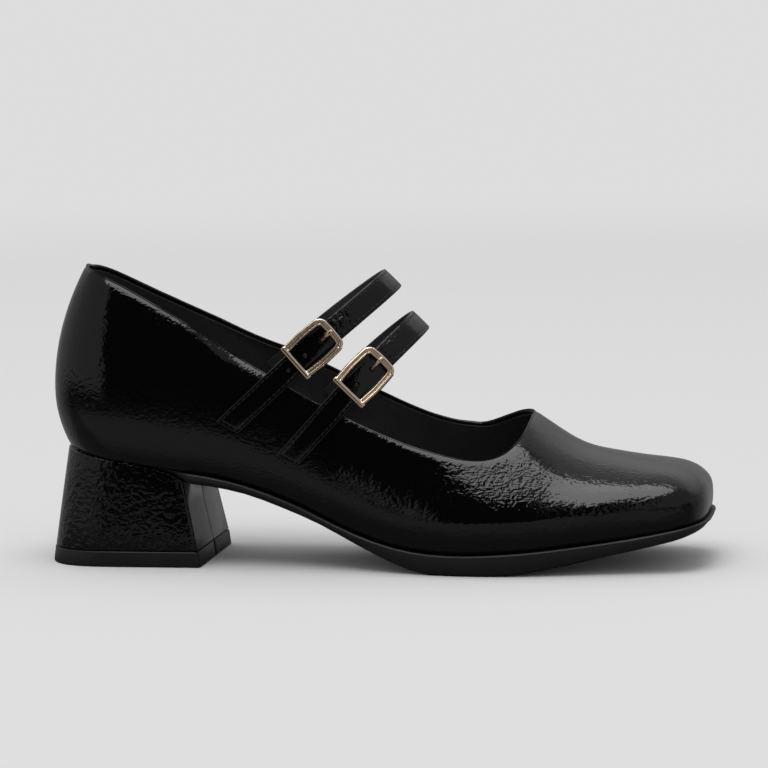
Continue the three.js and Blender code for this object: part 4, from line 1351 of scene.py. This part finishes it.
def studio_world():
    """Pale for the camera, soft for the light, and with a dark side in front for reflections."""
    world = bpy.data.worlds.new("studio")
    world.use_nodes = True
    tree = world.node_tree
    ray = tree.nodes.new("ShaderNodeLightPath").outputs
    where = node(
        tree,
        "ShaderNodeSeparateXYZ",
        {0: tree.nodes.new("ShaderNodeTexCoord").outputs["Generated"]},
    ).outputs
    forward = math_node(tree, "MULTIPLY", where["Y"], -1.0)
    turned = math_node(tree, "ARCTAN2", where["X"], forward)
    turned = math_node(tree, "MULTIPLY", turned, math.degrees(1))
    risen = math_node(tree, "MULTIPLY", math_node(tree, "ARCSINE", where["Z"]), math.degrees(1))

    sides = step_node(tree, turned, -5, 5, LEFT_SIDE, RIGHT_SIDE)
    left, right = DARK_SIDE
    dark = math_node(tree, "MULTIPLY", step_node(tree, turned, left - 2, left + 2),
                     step_node(tree, turned, right + 2, right - 2))
    dark = math_node(tree, "MULTIPLY", dark, step_node(tree, risen, DARK_TOP + 4, DARK_TOP - 4))
    sides = blend_node(tree, dark, sides, DARK)
    back = BEHIND[0][1]
    for (low, a), (high, b) in zip(BEHIND, BEHIND[1:]):
        back = math_node(tree, "ADD", back, range_node(tree, risen, 0.0, b - a, low, high))
    around = math_node(tree, "ABSOLUTE", turned)
    seen = blend_node(
        tree, step_node(tree, around, BEHIND_FROM - 8, BEHIND_FROM + 8), sides, back
    )
    lit = blend_node(tree, ray["Is Glossy Ray"], SKY, seen)
    shown = blend_node(tree, ray["Is Camera Ray"], lit, FLOOR_LEVEL)
    background = tree.nodes["Background"].inputs
    tree.links.new(shown, background["Strength"])
    background["Color"].default_value = (1, 0.992, 0.992, 1)
    bpy.context.scene.world = world


class SHOE_OT_stage(bpy.types.Operator):
    """Makes the pale floor and backdrop, the soft lights and the camera"""

    bl_idname = "shoe.stage"
    bl_label = "Stage"

    def execute(self, context):
        scene = context.scene
        bpy.ops.object.select_all(action="DESELECT")
        surface = stage_surface(scene.shoe_looks.stage_colour)
        bpy.ops.mesh.primitive_plane_add(size=8, location=(0, -1, 0))
        floor = context.object
        floor.name = "floor"
        bpy.ops.object.transform_apply(location=True)
        floor.data.materials.append(surface)

        edge_at = 3.0  # the backdrop rises from the floor's far edge
        paper = new_object("backdrop", [(-4, edge_at, 0), (4, edge_at, 0)], [])
        paper.data.edges.add(1)
        paper.data.edges[0].vertices = (0, 1)
        choose(paper, "edges", lambda e: True)
        bpy.ops.object.mode_set(mode="EDIT")
        steps, radius = 16, 2.0
        for i in range(steps):
            a, b = (math.pi / 2 * k / steps for k in (i, i + 1))
            bpy.ops.mesh.extrude_edges_move(
                TRANSFORM_OT_translate={
                    "value": (
                        0,
                        radius * (math.sin(b) - math.sin(a)),
                        radius * (math.cos(a) - math.cos(b)),
                    )
                }
            )
        bpy.ops.mesh.extrude_edges_move(TRANSFORM_OT_translate={"value": (0, 0, 3)})
        bpy.ops.object.mode_set(mode="OBJECT")
        paper.data.materials.append(surface)
        for face in paper.data.polygons:
            face.use_smooth = True
        paper.visible_glossy = False

        softbox("overhead_softbox", SOFTBOX["at"], (SOFTBOX["at"][0], SOFTBOX["at"][1], 0),
                SOFTBOX["size"], SOFTBOX["brightness"], SOFTBOX["turn"])
        studio_world()
        scene.view_settings.view_transform = "Standard"

        azimuth, elevation, roll = (
            math.radians(CAMERA[k]) for k in ("azimuth", "elevation", "roll")
        )
        flat = math.cos(elevation)
        back = Vector((math.sin(azimuth) * flat, -math.cos(azimuth) * flat, math.sin(elevation)))
        right = Vector((math.cos(azimuth), math.sin(azimuth), 0))
        up = back.cross(right)
        right, up = (
            right * math.cos(roll) + up * math.sin(roll),
            up * math.cos(roll) - right * math.sin(roll),
        )
        data = bpy.data.cameras.new("camera")
        data.lens, data.sensor_width = LENS, 36
        camera = bpy.data.objects.new("camera", data)
        scene.collection.objects.link(camera)
        turn = Matrix((right, up, back)).transposed().to_4x4()
        camera.matrix_world = Matrix.Translation(place(TARGET) + back * CAMERA["distance"]) @ turn
        scene.camera = camera
        return {"FINISHED"}


# ---------------------------------------------------------------- add-on
OPERATORS = (
    SHOE_OT_stage,
    SHOE_OT_upper,
    SHOE_OT_insole,
    SHOE_OT_sole,
    SHOE_OT_heel,
    SHOE_OT_straps,
    SHOE_OT_buckles,
)


class SHOE_PT_parts(bpy.types.Panel):
    """Lists the shoe's parts with their colours and sizes"""

    bl_idname = "SHOE_PT_parts"
    bl_label = "Mary jane shoe"
    bl_space_type = "VIEW_3D"
    bl_region_type = "UI"
    bl_category = "Shoe"

    def draw(self, context):
        for group in (context.scene.shoe_looks, context.scene.shoe_sizes):
            box = self.layout.box()
            for name in group.__annotations__:
                box.prop(group, name)
        for operator in OPERATORS:
            self.layout.operator(operator.bl_idname)


CLASSES = (ShoeLooks, ShoeSizes, *OPERATORS, SHOE_PT_parts)


def register():
    for cls in CLASSES:
        bpy.utils.register_class(cls)
    bpy.types.Scene.shoe_looks = bpy.props.PointerProperty(type=ShoeLooks)
    bpy.types.Scene.shoe_sizes = bpy.props.PointerProperty(type=ShoeSizes)


def unregister():
    del bpy.types.Scene.shoe_sizes
    del bpy.types.Scene.shoe_looks
    for cls in reversed(CLASSES):
        bpy.utils.unregister_class(cls)


def main():
    register()
    for operator in OPERATORS:
        group, name = operator.bl_idname.split(".")
        getattr(getattr(bpy.ops, group), name)()


if __name__ == "__main__":
    main()
